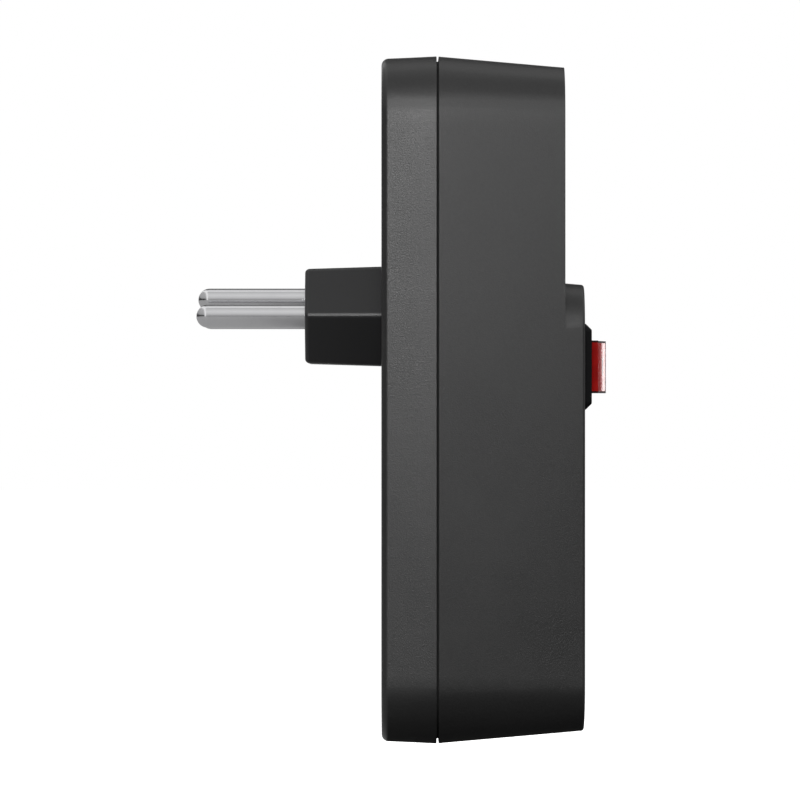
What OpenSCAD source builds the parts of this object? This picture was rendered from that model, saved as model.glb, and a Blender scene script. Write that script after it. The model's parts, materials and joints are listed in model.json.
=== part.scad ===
// Double socket adapter with a rocker switch and two charging ports, in millimetres.
// The origin is the middle of the plug's face, between its two power pins.
// The pins point along +Y into the wall, the sockets face -Y, and +Z is up.

/* [Body] */
// Distance from the sockets' flanges to the body's sides
side_room = 5.4; // [5.2:0.1:6.4]
// Distance from the upper socket's middle to the body's top
top_end = 20.9; // [20:0.1:24]
// Distance from the ports' middle to the body's bottom
bottom_end = 17.6; // [17:0.1:20]
// Corner radius of the body at the seam, seen from the front
corner_r = 10.5; // [10:0.5:11.5]
// Wall thickness of the two shells
wall = 2; // [1.8:0.1:2.1]
// Depth from the back face to the seam
cover_depth = 9.7; // [9:0.1:10.5]
// Depth from the back face to the upper part of the front
upper_depth = 31.6; // [31.2:0.1:33]
// How far the lower part of the front stands out
step_rise = 3.4; // [3:0.1:3.8]
// Height of the raised part's top edge over the switch's middle
step_over = 14.4; // [13.6:0.1:15.4]
// Radius of the raised part's upper corners, seen from the front
step_r = 8; // [7:0.5:10]
// Rounding of the raised part's front edge
step_edge_r = 0.5; // [0.3:0.1:0.8]
// Rounding of the rear cover's back edge
back_edge_r = 1.25; // [0.8:0.05:1.6]
// Lean of the front housing's sides, in degrees
side_draft = 5; // [4:0.5:5.5]
// Lean of the rear cover's sides, in degrees
cover_draft = 2.6; // [2:0.1:3.2]
// Width of the groove along the seam
seam_gap = 0.35; // [0.25:0.05:0.5]
// Depth of the groove along the seam
seam_notch = 0.9; // [0.6:0.1:1]
// Height of the rear cover's lip inside the front housing
lip_h = 2; // [1.6:0.1:2.6]
// Thickness of that lip
lip_t = 1; // [0.8:0.1:1.2]
// Gap between the lip and the front housing
lip_gap = 0.15; // [0.1:0.05:0.25]

/* [Plug] */
// Diameter of a pin
pin_d = 4; // [3.9:0.05:4.1]
// Length of a pin outside the plug
pin_len = 19; // [18.5:0.1:19.3]
// Distance between the two power pins
pin_pitch = 19; // [18.8:0.1:19.2]
// Height of the earth pin over the power pins
earth_rise = 3; // [2.8:0.1:3.2]
// Width of the plug's face, from point to point
plug_w = 35.6; // [35:0.1:36]
// Height of the plug's face
plug_h = 16.4; // [16:0.1:16.8]
// Width of the plug's flat top and bottom
plug_flat_w = 24; // [23.5:0.1:24.5]
// How far the plug stands out of the body
plug_len = 13.3; // [13:0.1:13.8]
// How much wider the plug is at its foot, on each side
plug_foot = 0.4; // [0.2:0.05:0.45]
// Rounding of the plug's edges
plug_edge_r = 0.6; // [0.4:0.1:0.8]
// Distance between the hooks that hold the plug's flange
hook_pitch = 12; // [10:0.5:13]
// Width of a hook
hook_w = 5; // [4:0.5:6]
// Thickness of a hook's beam
hook_t = 1.2; // [1:0.1:1.4]
// How far a hook's barb reaches over the flange
hook_barb = 0.6; // [0.4:0.1:0.8]
// Thickness of a hook's barb
hook_barb_t = 0.8; // [0.6:0.1:1]
// How far the plug's hidden flange reaches past the plug, sideways
flange_side = 2.2; // [1.8:0.1:2.6]
// How far the flange reaches past the plug, up and down
flange_rise = 3.8; // [3.4:0.1:4.2]
// Thickness of that flange
flange_t = 2; // [1.8:0.1:2.1]
// Radius of a pin where it is cast into the plug
pin_neck_r = 1.8; // [1.7:0.05:1.85]
// Radius of a pin's anchoring collar
pin_collar_r = 2.6; // [2.4:0.1:2.8]
// Depth of the collar under the plug's face
pin_collar_in = 3; // [2.5:0.1:3.5]
// Length of the collar
pin_collar_len = 6; // [5:0.5:7]
// Radius of the tail that rivets a pin to its strip
rivet_r = 1.2; // [1.1:0.05:1.3]
// Radius of the rivet's head
rivet_head_r = 1.9; // [1.7:0.05:2]
// Thickness of the rivet's head
rivet_head_t = 0.5; // [0.4:0.05:0.6]

/* [Sockets] */
// Height of the upper socket over the plug
upper_rise = 24; // [22:0.5:28]
// Distance from the switch down to the lower socket
lower_drop = 24.2; // [22:0.1:26]
// Room round a plug in its socket
socket_room = 0.6; // [0.5:0.05:0.65]
// Depth of a socket
well_depth = 10; // [9.6:0.1:10.2]
// Side wall of a socket
well_wall = 1.2; // [1:0.05:1.25]
// Thickness of a socket's floor
well_floor = 2; // [1.8:0.1:2.1]
// Width of a socket's flange past its wall
well_rim = 0.6; // [0.5:0.05:0.65]
// Thickness of that flange
well_rim_t = 1.5; // [1.2:0.1:1.8]
// Diameter of a pin hole
hole_d = 4.4; // [4.35:0.05:4.5]
// Gap between a socket and the hole in the housing
seat_gap = 0.1; // [0.08:0.01:0.12]

/* [Shutters] */
// Thickness of a shutter
shutter_t = 4; // [3.9:0.05:4.1]
// Rim of a shutter beside its windows
shutter_rim = 1.1; // [0.9:0.1:1.3]
// Room round a pin in a shutter's window
window_room = 0.6; // [0.5:0.05:0.7]
// How far a shutter slides
shutter_travel = 4.5; // [4.4:0.05:4.6]
// Reach of a shutter below the power holes
shutter_low = 3.4; // [3.2:0.1:3.5]
// Gap round a shutter
shutter_gap = 0.3; // [0.25:0.05:0.35]
// Thickness of the rails beside a shutter
rail_t = 1.5; // [1.3:0.1:1.7]
// Outer radius of a shutter's spring
shutter_spring_r = 1.25; // [1.2:0.05:1.3]
// Thickness of the spring's wall of turns
spring_wire = 0.4; // [0.3:0.05:0.5]
// Depth of the spring's pocket in the shutter
spring_pocket = 3.5; // [3.3:0.1:3.5]

/* [Contacts] */
// Depth of the block that holds a socket's contacts
carrier_t = 8.8; // [8.4:0.1:8.9]
// Gap between the two leaves of a contact
clip_gap = 4.4; // [4.35:0.05:4.5]
// Thickness of a contact's leaves
clip_t = 0.6; // [0.5:0.05:0.65]
// Room round a contact in its pocket
clip_room = 0.15; // [0.1:0.05:0.2]
// Thickness of the strips
strip_t = 0.8; // [0.7:0.05:0.9]
// Width of the strips
strip_w = 4.5; // [4.3:0.1:4.7]
// Distance from the middle to the power strips' inner edges
strip_x = 13.5; // [13.3:0.1:13.8]
// Gap between the strips and the plug's flange
strip_gap = 0.8; // [0.6:0.05:0.9]
// Radius of the screws that hold a carrier
carrier_screw_r = 0.9; // [0.8:0.05:1]
// Height of those screws over the socket's middle
carrier_screw_z = 7.5; // [7.3:0.1:7.7]
// Radius of the posts that those screws go into
carrier_post_r = 2.5; // [2.3:0.1:2.6]
// Length of those screws' threads inside the posts
carrier_screw_len = 6; // [5:0.5:7]
// Thickness of a carrier's ears
carrier_ear_t = 2; // [1.8:0.1:2.2]
// Half the height of a carrier and of the rails beside a shutter
carrier_half_h = 9.5; // [9.4:0.1:9.7]

/* [Screws] */
// Radius of the housing screws' threads
screw_r = 1.25; // [1.15:0.05:1.3]
// Radius of the housing screws' heads
screw_head_r = 2.8; // [2.6:0.05:2.9]
// Height of the housing screws' heads
screw_head_t = 2.2; // [2:0.1:2.4]
// Length of the housing screws' threads
screw_len = 14; // [12:0.5:15]
// Radius of the housing screws' bosses
boss_r = 2.8; // [2.6:0.05:2.85]
// Distance from the body's sides to the housing screws
boss_side = 7.4; // [7.3:0.05:7.6]
// Distance from the body's bottom to the lower housing screws
boss_end = 7; // [6.8:0.05:7.4]
// Wall of the rear cover's pillars round the screw heads
pillar_wall = 1.1; // [1:0.1:1.3]
// Gap between the upper bosses and the upper socket's flange
boss_room = 0.5; // [0.4:0.1:1]
// Depth of the hole above a screw's head
screw_sink = 2.2; // [1.8:0.1:2.6]
// Gap round the screws in their clearance holes
screw_gap = 0.3; // [0.2:0.05:0.35]

/* [Switch] */
// Distance from the plug's middle down to the switch
switch_drop = 8.8; // [8.2:0.1:10]
// Width of the switch's rim
bezel_w = 21; // [20.8:0.1:21.4]
// Height of the switch's rim
bezel_h = 15; // [14.8:0.1:15.2]
// How far the rim stands out
bezel_t = 1.65; // [1.5:0.05:1.8]
// Size of the rim's bevel
bezel_bevel = 1.07; // [0.9:0.01:1.2]
// Corner radius of the rim
bezel_r = 1.4; // [1.3:0.1:1.8]
// Width of the switch's body behind the rim
switch_w = 19; // [18.8:0.1:19.2]
// Height of the switch's body behind the rim
switch_h = 12.9; // [12.8:0.05:13.1]
// Depth of the switch's body behind the housing's face
switch_depth = 14.3; // [14.2:0.05:14.5]
// Width of the opening that the rocker sits in
mouth_w = 16; // [15.9:0.05:16.2]
// Height of that opening
mouth_h = 9.8; // [9.75:0.05:9.9]
// Thickness of the switch's base
base_t = 1.5; // [1.4:0.05:1.6]
// Length of the rocker
rocker_len = 14.4; // [14.2:0.1:14.4]
// Height of the rocker
rocker_h = 9.2; // [9.1:0.05:9.2]
// How far the rocker tips from its middle to each side, in degrees
rocker_tip = 7.5; // [7:0.1:7.6]
// How far the pressed end stands over the rim
rocker_proud = 1.15; // [1.1:0.05:1.3]
// Depth of the rocker's pivot behind the rim's face
pivot_in = 2.95; // [2.9:0.05:3]
// Wall of the rocker
rocker_wall = 1; // [0.9:0.05:1.1]
// Roundness of the dip in the rocker's face
rocker_dip = 1; // [0.8:0.1:1.4]
// Radius of the rocker's pivot pins
trunnion_r = 1.2; // [1.1:0.05:1.3]
// Running gap of those pins
trunnion_gap = 0.07; // [0.05:0.01:0.09]
// Distance from the pivot to the plunger's tip
plunger_reach = 7.5; // [7.4:0.05:7.5]
// Radius of the plunger
plunger_r = 1; // [0.95:0.05:1]
// Depth of the contact bar's pivot behind the rocker's
bar_in = 9; // [9:0.05:9.1]
// Radius of the rod that the contact bar tips on
bar_rod_r = 0.6; // [0.55:0.05:0.6]
// Running gap between the rod and the bar
bar_gap = 0.1; // [0.08:0.01:0.1]
// Thickness of the contact bar
bar_t = 0.5; // [0.45:0.05:0.5]
// Width of the contact bar
bar_w = 4; // [3.8:0.1:4]
// Distance from the bar's pivot to its contact
contact_x = 6.5; // [6.4:0.05:6.5]
// Depth of the switched link's plate behind the switch's base
link_in = 12; // [11.9:0.05:12.1]
// Depth of the live strip's lower arm behind the switch's base
live_in = 10.8; // [10.7:0.05:10.9]
// Width of a switch tab
tab_w = 4.8; // [4.6:0.1:4.9]
// Thickness of a switch tab
tab_t = 0.8; // [0.75:0.05:0.85]
// Length of a switch tab behind the base
tab_len = 8; // [7.8:0.1:8.1]
// Thickness of the contact buttons
button_t = 0.5; // [0.45:0.05:0.55]
// Radius of the lamp
lamp_r = 1.4; // [1.3:0.05:1.4]
// Length of the lamp
lamp_len = 6; // [5.8:0.1:6.2]
// Sideways place of the lamp
lamp_x = 5; // [4.95:0.05:5.1]
// Depth of the lamp behind the rocker's pivot
lamp_in = 5.6; // [5.5:0.1:5.7]
// Radius of the lamp's leads
lead_r = 0.25; // [0.2:0.05:0.3]
// Radius of the lamp's resistor
resistor_r = 0.7; // [0.6:0.05:0.75]
// Length of the lamp's resistor
resistor_len = 3.2; // [3:0.1:3.4]
// Sideways place of the lamp's resistor
resistor_x = 3.4; // [3.3:0.05:3.5]

/* [Charging ports] */
// Distance from the lower socket down to the ports
port_drop = 23.5; // [22:0.1:25]
// Distance between the two ports
port_pitch = 16; // [15.8:0.1:16.1]
// Width of a port's shell
port_w = 13.1; // [13:0.05:13.2]
// Height of a port's shell
port_h = 5.7; // [5.6:0.05:5.8]
// Length of a port's shell
port_len = 14; // [13.8:0.1:14.2]
// Thickness of a port's shell
port_wall = 0.35; // [0.3:0.05:0.4]
// Depth of the shell's mouth behind the housing's face
port_in = 0.4; // [0.3:0.1:0.6]
// Gap between a shell and the hole in the housing
port_gap = 0.2; // [0.15:0.05:0.3]
// Width of a port's tongue
tongue_w = 11.1; // [10.8:0.1:11.2]
// Thickness of a port's tongue
tongue_t = 1.84; // [1.8:0.02:1.9]
// Length of a port's tongue
tongue_len = 9; // [8.6:0.1:9.4]
// Distance from a port's mouth to its tongue
tongue_in = 1.9; // [1.7:0.1:2.1]
// Gap between the circuit board and the lower bosses
board_room = 0.3; // [0.3:0.1:0.6]
// Height of the circuit board
board_h = 22; // [21.8:0.1:22]
// Thickness of the circuit board
board_t = 1.6; // [1.5:0.05:1.7]
// Distance from the ports to the board's screws
board_screw_z = 8; // [7.9:0.05:8.1]
// Radius of the board's screws
board_screw_r = 0.8; // [0.75:0.05:0.85]
// Radius of the board's screw heads
board_head_r = 1.6; // [1.4:0.1:1.8]
// Thickness of the board's screw heads
board_head_t = 1.1; // [0.9:0.1:1.3]
// Length of the board's screws inside their posts
board_screw_len = 5; // [4.5:0.5:6]
// Radius of the board's posts
post_r = 2.2; // [2:0.1:2.2]
// Radius of the inner wires
wire_r = 0.7; // [0.6:0.05:0.8]

/* [Parts on the board] */
// Width of the transformer
core_w = 12.6; // [12:0.1:12.7]
// Height of the transformer over the board
core_h = 12; // [11.5:0.1:12.3]
// Thickness of the transformer's core
core_t = 6; // [5.6:0.1:6.2]
// Width of the core's middle leg
core_mid = 3.4; // [3.2:0.1:3.6]
// Width of the core's outer legs
core_leg = 1.8; // [1.7:0.1:1.9]
// Height of the transformer's windings
winding_h = 7.4; // [7:0.1:7.6]
// Length of the windings across the core
winding_l = 11; // [10.6:0.1:11.2]
// Gap between the windings and the core
winding_gap = 0.1; // [0.05:0.05:0.15]
// Distance from the board's side to the transformer
core_side = 1; // [0.9:0.1:1.1]
// Distance from the ports down to the transformer's middle
core_drop = 0.5; // [0.3:0.1:0.7]
// Radius of the input capacitor
input_r = 4; // [3.8:0.05:4]
// Height of the input capacitor
input_h = 13; // [12:0.1:13.5]
// Distance from the ports up to the input capacitor's middle
input_rise = 5; // [4.9:0.1:5.2]
// Radius of the output capacitor
output_r = 3.15; // [3:0.05:3.2]
// Height of the output capacitor
output_h = 11; // [10:0.1:12]
// Distance from the ports down to the output capacitor's middle
output_drop = 6; // [5.8:0.1:6.2]
// Distance from the board's side to the capacitors
can_side = 1.5; // [1.4:0.1:1.6]
// Sideways place of the chips and of the disc capacitor
chip_x = 2.7; // [2.65:0.05:2.75]
// Width of the chips
chip_w = 4.6; // [4.4:0.1:4.6]
// Height of the rectifier, up and down the board
rectifier_h = 4; // [3.8:0.1:4.1]
// Thickness of the rectifier
rectifier_t = 2.4; // [2.2:0.1:2.6]
// Distance from the ports up to the rectifier's middle
rectifier_rise = 1.4; // [1.3:0.1:1.5]
// Height of the controller chip, up and down the board
chip_h = 3.8; // [3.6:0.1:3.9]
// Thickness of the controller chip
chip_t = 1.6; // [1.4:0.1:1.8]
// Distance from the ports down to the controller chip's middle
chip_drop = 3.5; // [3.4:0.1:3.6]
// Radius of the disc capacitor
disc_r = 2.3; // [2.1:0.1:2.3]
// Thickness of the disc capacitor
disc_t = 2.2; // [2:0.1:2.4]
// Height of the disc capacitor's rim over the board
disc_lift = 1; // [0.8:0.1:1.2]
// Distance from the ports up to the disc capacitor
disc_rise = 5.5; // [5.3:0.1:5.6]
// Distance between the disc capacitor's leads
disc_pitch = 3; // [2.8:0.1:3.2]
// Radius of the disc capacitor's leads
disc_lead_r = 0.3; // [0.25:0.05:0.35]
// Radius of the fusible resistor
fuse_r = 1.2; // [1.1:0.05:1.3]
// Length of the fusible resistor
fuse_len = 6.5; // [6.2:0.1:6.8]
// Distance from the ports up to the fusible resistor
fuse_rise = 8; // [7.8:0.1:8.1]
// Distance from the board's side to the fusible resistor
fuse_side = 4; // [3.6:0.1:4.4]

/* [Hidden] */
$fn = 48;

// Colours
shell_black = [0.27, 0.27, 0.28];
plug_black = [0.16, 0.16, 0.17];
rim_black = [0.08, 0.08, 0.09];
nickel = [0.8, 0.8, 0.82];
brass = [0.78, 0.62, 0.3];
lens_red = [0.62, 0.1, 0.08];
steel = [0.66, 0.67, 0.69];
pale_plastic = [0.9, 0.9, 0.87];
board_green = [0.1, 0.36, 0.2];
part_dark = [0.13, 0.13, 0.15];
sleeve_blue = [0.12, 0.2, 0.5];
tape_yellow = [0.85, 0.7, 0.2];
wire_brown = [0.35, 0.2, 0.1];

// A cut starts and ends this far past what it cuts
past = 1;

// Heights, from the plug's middle
upper_socket_z = upper_rise;
switch_z = -switch_drop;
lower_socket_z = switch_z - lower_drop;
port_z = lower_socket_z - port_drop;
step_z = switch_z + step_over;

// Body
body_high = upper_socket_z + top_end;
body_low = port_z - bottom_end;
slope_run = hypotenuse(plug_h / 2, (plug_w - plug_flat_w) / 2);
rim_half_w = plug_w / 2 + (socket_room + well_wall) * slope_run / (plug_h / 2) + well_rim;
rim_half_h = plug_h / 2 + socket_room + well_wall + well_rim;
body_w = 2 * tenths(rim_half_w + side_room);
rear_y = -plug_len;
join_y = rear_y - cover_depth + seam_gap / 2;
upper_y = rear_y - upper_depth;
lower_y = upper_y - step_rise;
floor_y = rear_y - wall;
cavity_r = corner_r - wall;
boss_x = body_w / 2 - boss_side;
boss_high = upper_socket_z + rim_half_h + boss_room + boss_r;
boss_spots = [for (x = [-boss_x, boss_x], z = [body_low + boss_end, boss_high]) [x, z]];
function front_inset(y) = (join_y - y) * tan(side_draft);

// Plug and sockets
pin_r = pin_d / 2;
pin_x = pin_pitch / 2;
flange_w = plug_w + 2 * flange_side;
flange_h = plug_h + 2 * flange_rise;
flange_y = floor_y - flange_t;
plug_fit = 0.1;
hole_r = hole_d / 2;
strip_back = flange_y - strip_gap;
strip_front = strip_back - strip_t;
fit = 0.05;
floor_back = well_depth + well_floor;
carrier_in = floor_back + shutter_t + 2 * shutter_gap;
window_half = pin_r + window_room;
shutter_w = 2 * (pin_x + window_half + shutter_rim);
rail_x = shutter_w / 2 + shutter_gap;
carrier_half_w = rail_x + rail_t;
ledge_rise = 0.6;
ledge_z = ledge_rise - carrier_half_h;
ledge_t = 1;
spring_gap = 0.25;
shutter_top = earth_rise + hole_r + shutter_travel - past;
ramp_low = -hole_r;
window_spare = 0.1;
window_high = pin_r + window_room + shutter_travel + window_spare;
carrier_screw_x = rim_half_w - carrier_post_r;
carrier_screw_head_r = 1.9;
carrier_screw_head_t = 1.3;
screw_short = 1;

// Contacts
clip_half = clip_gap / 2;
clip_out = clip_half + clip_t;
tail_half = 2;
clip_set_in = 0.3;
strip_over = 3;

// Switch
mouth_y = lower_y - bezel_t;
pivot_y = mouth_y + pivot_in;
base_y = lower_y + switch_depth;
bar_y = pivot_y + bar_in;
bar_saddle_r = bar_rod_r + bar_gap;
bar_end_r = bar_saddle_r + 2 * bar_t;
rocker_half = rocker_len / 2;
rocker_end_h = (pivot_in + rocker_proud + rocker_half * sin(rocker_tip)) / cos(rocker_tip);
rocker_skirt = 1;
stem_r = 2;
stem_reach = 5;
plunger_top = 3.2;
spring_top = 1.2;
trunnion_short = 0.5;
rod_over = 0.5;
switch_arm = 5.5;
contact_r = 1;
pad_room = 0.2;
barb_out = 0.6;
barb_len = 1.5;
barb_root = 0.2;
link_y = base_y + link_in;
live_y = base_y + live_in;
tab_overlap = 4;
link_high = switch_z + tab_w / 2;
link_low = switch_z - tab_w / 2;
live_w = 3;
pad_over = 0.3;
lamp_wire_in = 1.2;

// Charging ports
port_y = lower_y + port_in;
board_w = 2 * (boss_x - boss_r - board_room);
board_y = port_y + port_len;
board_back = board_y + board_t;
board_shift = 0.5;
board_high = port_z + board_h / 2 - board_shift;
board_low = board_high - board_h;
tongue_z = 0.05;
insert_t = port_len - tongue_len - tongue_in;
contact_w = 1;
contact_t = 0.2;
contact_spots = [-3.5, -1, 1, 3.5];
contact_short = 0.6;
wire_edge = 0.9;
wire_low = board_high - wire_edge;

function hypotenuse(a, b) = sqrt(a * a + b * b);

// A size rounded to a tenth of a millimetre
function tenths(size) = round(10 * size) / 10;

// Corners of the plug's six-sided outline, grown by the same amount on every side
function six_sides(grow) = let (
    top = plug_h / 2 + grow,
    point = plug_w / 2 + grow * slope_run / (plug_h / 2),
    flat = plug_flat_w / 2 + grow * (slope_run - (plug_w - plug_flat_w) / 2) / (plug_h / 2)
) [[point, 0], [flat, top], [-flat, top], [-point, 0], [-flat, -top], [flat, -top]];

// Edge of a moulded block, as steps of how far in and how deep, with a sharp front edge
function plain_edge(depth, draft) = [[0, 0], [depth * tan(draft), depth]];

// The same with a rounded front edge
function round_edge(depth, draft, r) = let (
    steps = 6,
    inset = (depth - r) * tan(draft) + r / cos(draft)
) concat([[0, 0]], [
    for (i = [0:steps]) let (turn = draft + (90 - draft) * i / steps)
        [inset - r * cos(turn), depth - r + r * sin(turn)]
]);

// Extrudes an outline drawn in X and Z towards the front, from the plane at y
module forward(y, depth) {
    translate([0, y, 0])
        rotate([90, 0, 0])
            linear_extrude(height = depth)
                children();
}

// A round bar towards the front, from its back end at y
module bar_forward(x, y, z, r, depth) {
    translate([x, y, z])
        rotate([90, 0, 0])
            cylinder(r = r, h = depth);
}

// A box between two opposite corners
module block(low, high) {
    translate(low)
        cube(high - low);
}

// A straight round rod between two points
module rod(a, b, r) {
    run = b - a;
    length = norm(run);
    translate(a)
        rotate([0, acos(run[2] / length), atan2(run[1], run[0])])
            cylinder(r = r, h = length);
}

// A wire that runs along X, turns round a bend and runs on along Y
module bent_wire(first, second, r) {
    bend = 3 * r;
    rotate([0, 90, 0])
        cylinder(r = r, h = first - bend);
    translate([first - bend, bend, 0])
        rotate([0, 0, -90])
            rotate_extrude(angle = 90)
                translate([bend, 0])
                    circle(r = r);
    translate([first, bend, 0])
        rotate([-90, 0, 0])
            cylinder(r = r, h = second - bend);
}

// One end of a moulded block: a band between two round corners
module moulded_end(x_half, r, edge) {
    depth = edge[len(edge) - 1][1];
    rim = concat([[0, 0]], [for (e = edge) [r - e[0], e[1]]], [[0, depth]]);
    translate([r - x_half, 0, 0])
        rotate([90, 0, 90])
            linear_extrude(height = 2 * (x_half - r))
                polygon(rim);
    translate([x_half - r, 0, 0])
        rotate_extrude(angle = 90)
            polygon(rim);
    translate([r - x_half, 0, 0])
        rotate([0, 0, 90])
            rotate_extrude(angle = 90)
                polygon(rim);
}

// A block whose sides all lean in towards its front, with round corners.
// It is drawn with its widest face on the plane of X and Y, and it rises along Z.
module moulded_block(x_half, low, high, r_low, r_high, edge) {
    last = len(edge) - 1;
    right = [for (e = edge) [x_half - e[0], e[1]]];
    left = [for (i = [last:-1:0]) [edge[i][0] - x_half, edge[i][1]]];
    translate([0, high - r_high, 0])
        rotate([90, 0, 0])
            linear_extrude(height = high - r_high - low - r_low)
                polygon(concat(right, left));
    translate([0, high - r_high, 0])
        moulded_end(x_half, r_high, edge);
    translate([0, low + r_low, 0])
        mirror([0, 1, 0])
            moulded_end(x_half, r_low, edge);
}

// Stands a moulded block on the plane at y, leaning in towards the front
module towards_front(y) {
    translate([0, y, 0])
        rotate([90, 0, 0])
            children();
}

// Stands a moulded block on the plane at y, leaning in towards the back
module towards_back(y) {
    translate([0, y, 0])
        mirror([0, 1, 0])
            rotate([90, 0, 0])
                children();
}

// The front housing's outside, or its cavity when it is shrunk by the wall
module front_form(shrink) {
    depth = join_y - upper_y - shrink;
    base = front_inset(upper_y + shrink);
    towards_front(join_y)
        moulded_block(body_w / 2 - shrink, body_low + shrink, body_high - shrink,
            corner_r - shrink, corner_r - shrink, plain_edge(depth, side_draft));
    towards_front(upper_y + shrink)
        moulded_block(body_w / 2 - shrink - base, body_low + shrink + base, step_z - shrink,
            corner_r - shrink - base, step_r - shrink,
            shrink > 0 ? plain_edge(step_rise, side_draft)
                : round_edge(step_rise, side_draft, step_edge_r));
}

// The groove that shows along the seam
module seam_groove() {
    difference() {
        forward(join_y, seam_gap)
            square(2 * [body_w, body_high - body_low], center = true);
        towards_front(join_y)
            moulded_block(body_w / 2 - seam_notch, body_low + seam_notch,
                body_high - seam_notch, corner_r - seam_notch, corner_r - seam_notch,
                plain_edge(seam_gap, side_draft));
    }
}

module switch_cutout() {
    translate([0, 0, switch_z])
        forward(lower_y + wall + past, wall + 2 * past)
            square([switch_w + 2 * seat_gap, switch_h + 2 * seat_gap], center = true);
}

module port_cutouts() {
    for (x = [-port_pitch, port_pitch] / 2)
        translate([x, 0, port_z])
            forward(lower_y + wall + past, wall + 2 * past)
                square([port_w + 2 * port_gap, port_h + 2 * port_gap], center = true);
}

module socket_cutout(z, y) {
    translate([0, 0, z])
        forward(y + wall + past, wall + 2 * past)
            polygon(six_sides(socket_room + well_wall + seat_gap));
}

module front_housing() {
    color(shell_black) {
        difference() {
            front_form(0);
            front_form(wall);
            seam_groove();
            switch_cutout();
            port_cutouts();
            socket_cutout(upper_socket_z, upper_y);
            socket_cutout(lower_socket_z, lower_y);
        }
        for (s = boss_spots)
            screw_boss(s[0], s[1], (s[1] > 0 ? upper_y : lower_y) + wall);
        for (side = [-1, 1])
            board_post(port_z + side * board_screw_z);
    }
}

// A boss for a housing screw, from the front plate back to the seam
module screw_boss(x, z, front) {
    difference() {
        bar_forward(x, join_y, z, boss_r, join_y - front);
        bar_forward(x, join_y + past, z, screw_r + fit, screw_len + past);
    }
}

// A post for a screw of the circuit board
module board_post(z) {
    difference() {
        bar_forward(0, board_y, z, post_r, board_y - lower_y - wall / 2);
        bar_forward(0, board_y + past, z, board_screw_r + fit, board_screw_len + 2 * past);
    }
}

// Outer radius of the rear cover's pillars, over the sunk screw heads
pillar_r = screw_head_r + screw_gap + pillar_wall;

// A ring that sits inside the shells' walls
module lip_ring(y, depth, out) {
    towards_front(y)
        moulded_block(body_w / 2 - wall + out, body_low + wall - out, body_high - wall + out,
            cavity_r + out, cavity_r + out, plain_edge(depth, side_draft));
}

module cover_lip() {
    difference() {
        union() {
            lip_ring(join_y, lip_h, -lip_gap);
            towards_front(join_y + lip_h)
                moulded_block(body_w / 2 - wall / 2, body_low + wall / 2,
                    body_high - wall / 2, corner_r - wall / 2, corner_r - wall / 2,
                    [[0, 0], [0, lip_h]]);
        }
        lip_ring(join_y + lip_h + past, 2 * (lip_h + past), -lip_gap - lip_t);
        for (s = boss_spots)
            bar_forward(s[0], join_y, s[1], boss_r + screw_gap, lip_h + past);
    }
}

// A hook that holds the plug's flange against the cover
module flange_hook(x) {
    top = flange_h / 2 + plug_fit;
    tip = flange_y - plug_fit - hook_barb_t;
    block([x - hook_w / 2, tip, top], [x + hook_w / 2, floor_y, top + hook_t]);
    block([x - hook_w / 2, tip, top - hook_barb], [x + hook_w / 2, tip + hook_barb_t, top]);
}

module rear_cover() {
    cover_t = rear_y - join_y;
    color(shell_black)
        difference() {
            union() {
                difference() {
                    towards_back(join_y)
                        moulded_block(body_w / 2, body_low, body_high, corner_r, corner_r,
                            round_edge(cover_t, cover_draft, back_edge_r));
                    towards_back(join_y)
                        moulded_block(body_w / 2 - wall, body_low + wall, body_high - wall,
                            cavity_r, cavity_r, plain_edge(cover_t - wall, cover_draft));
                }
                cover_lip();
                for (s = boss_spots)
                    bar_forward(s[0], floor_y, s[1], pillar_r, floor_y - join_y);
                for (x = [-hook_pitch, hook_pitch] / 2) {
                    flange_hook(x);
                    mirror([0, 0, 1])
                        flange_hook(x);
                }
            }
            forward(rear_y + past, wall + 2 * past)
                polygon(six_sides(plug_foot + plug_fit));
            for (s = boss_spots) {
                bar_forward(s[0], rear_y + past, s[1], screw_head_r + screw_gap,
                    screw_sink + screw_head_t + past);
                bar_forward(s[0], rear_y, s[1], screw_r + screw_gap, rear_y - join_y + past);
            }
        }
}

module housing_screws() {
    seat = rear_y - screw_sink - screw_head_t;
    reach = seat - join_y + screw_len - screw_short;
    color(steel)
        for (s = boss_spots)
            difference() {
                union() {
                    bar_forward(s[0], seat + screw_head_t, s[1], screw_head_r, screw_head_t);
                    bar_forward(s[0], seat, s[1], screw_r, reach);
                }
                cross_slot(s[0], seat + screw_head_t, s[1], screw_head_r);
            }
}

// The crossed recess of a screw's head
module cross_slot(x, y, z, head_r) {
    arm = head_r * 0.6;
    half = head_r * 0.13;
    sink = head_r * 0.4;
    for (turn = [0, 90])
        translate([x, y, z])
            rotate([0, turn, 0])
                block([-arm, -sink, -half], [arm, past, half]);
}

module plug_block() {
    color(plug_black)
        difference() {
            union() {
                hull() {
                    for (p = six_sides(-plug_edge_r))
                        translate([p[0], -plug_edge_r, p[1]])
                            sphere(r = plug_edge_r, $fn = 24);
                    for (p = six_sides(plug_foot - plug_edge_r))
                        translate([p[0], rear_y, p[1]])
                            rotate([90, 0, 0])
                                cylinder(r = plug_edge_r, h = wall, $fn = 24);
                }
                forward(floor_y, flange_t)
                    square([flange_w, flange_h], center = true);
            }
            pin_bores();
        }
}

// What the three pins take out of the plug
module pin_bores() {
    for (p = [[-pin_x, 0], [pin_x, 0], [0, earth_rise]]) {
        bar_forward(p[0], past, p[1], pin_neck_r, past - flange_y + past);
        bar_forward(p[0], -pin_collar_in, p[1], pin_collar_r, pin_collar_len);
    }
}

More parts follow.
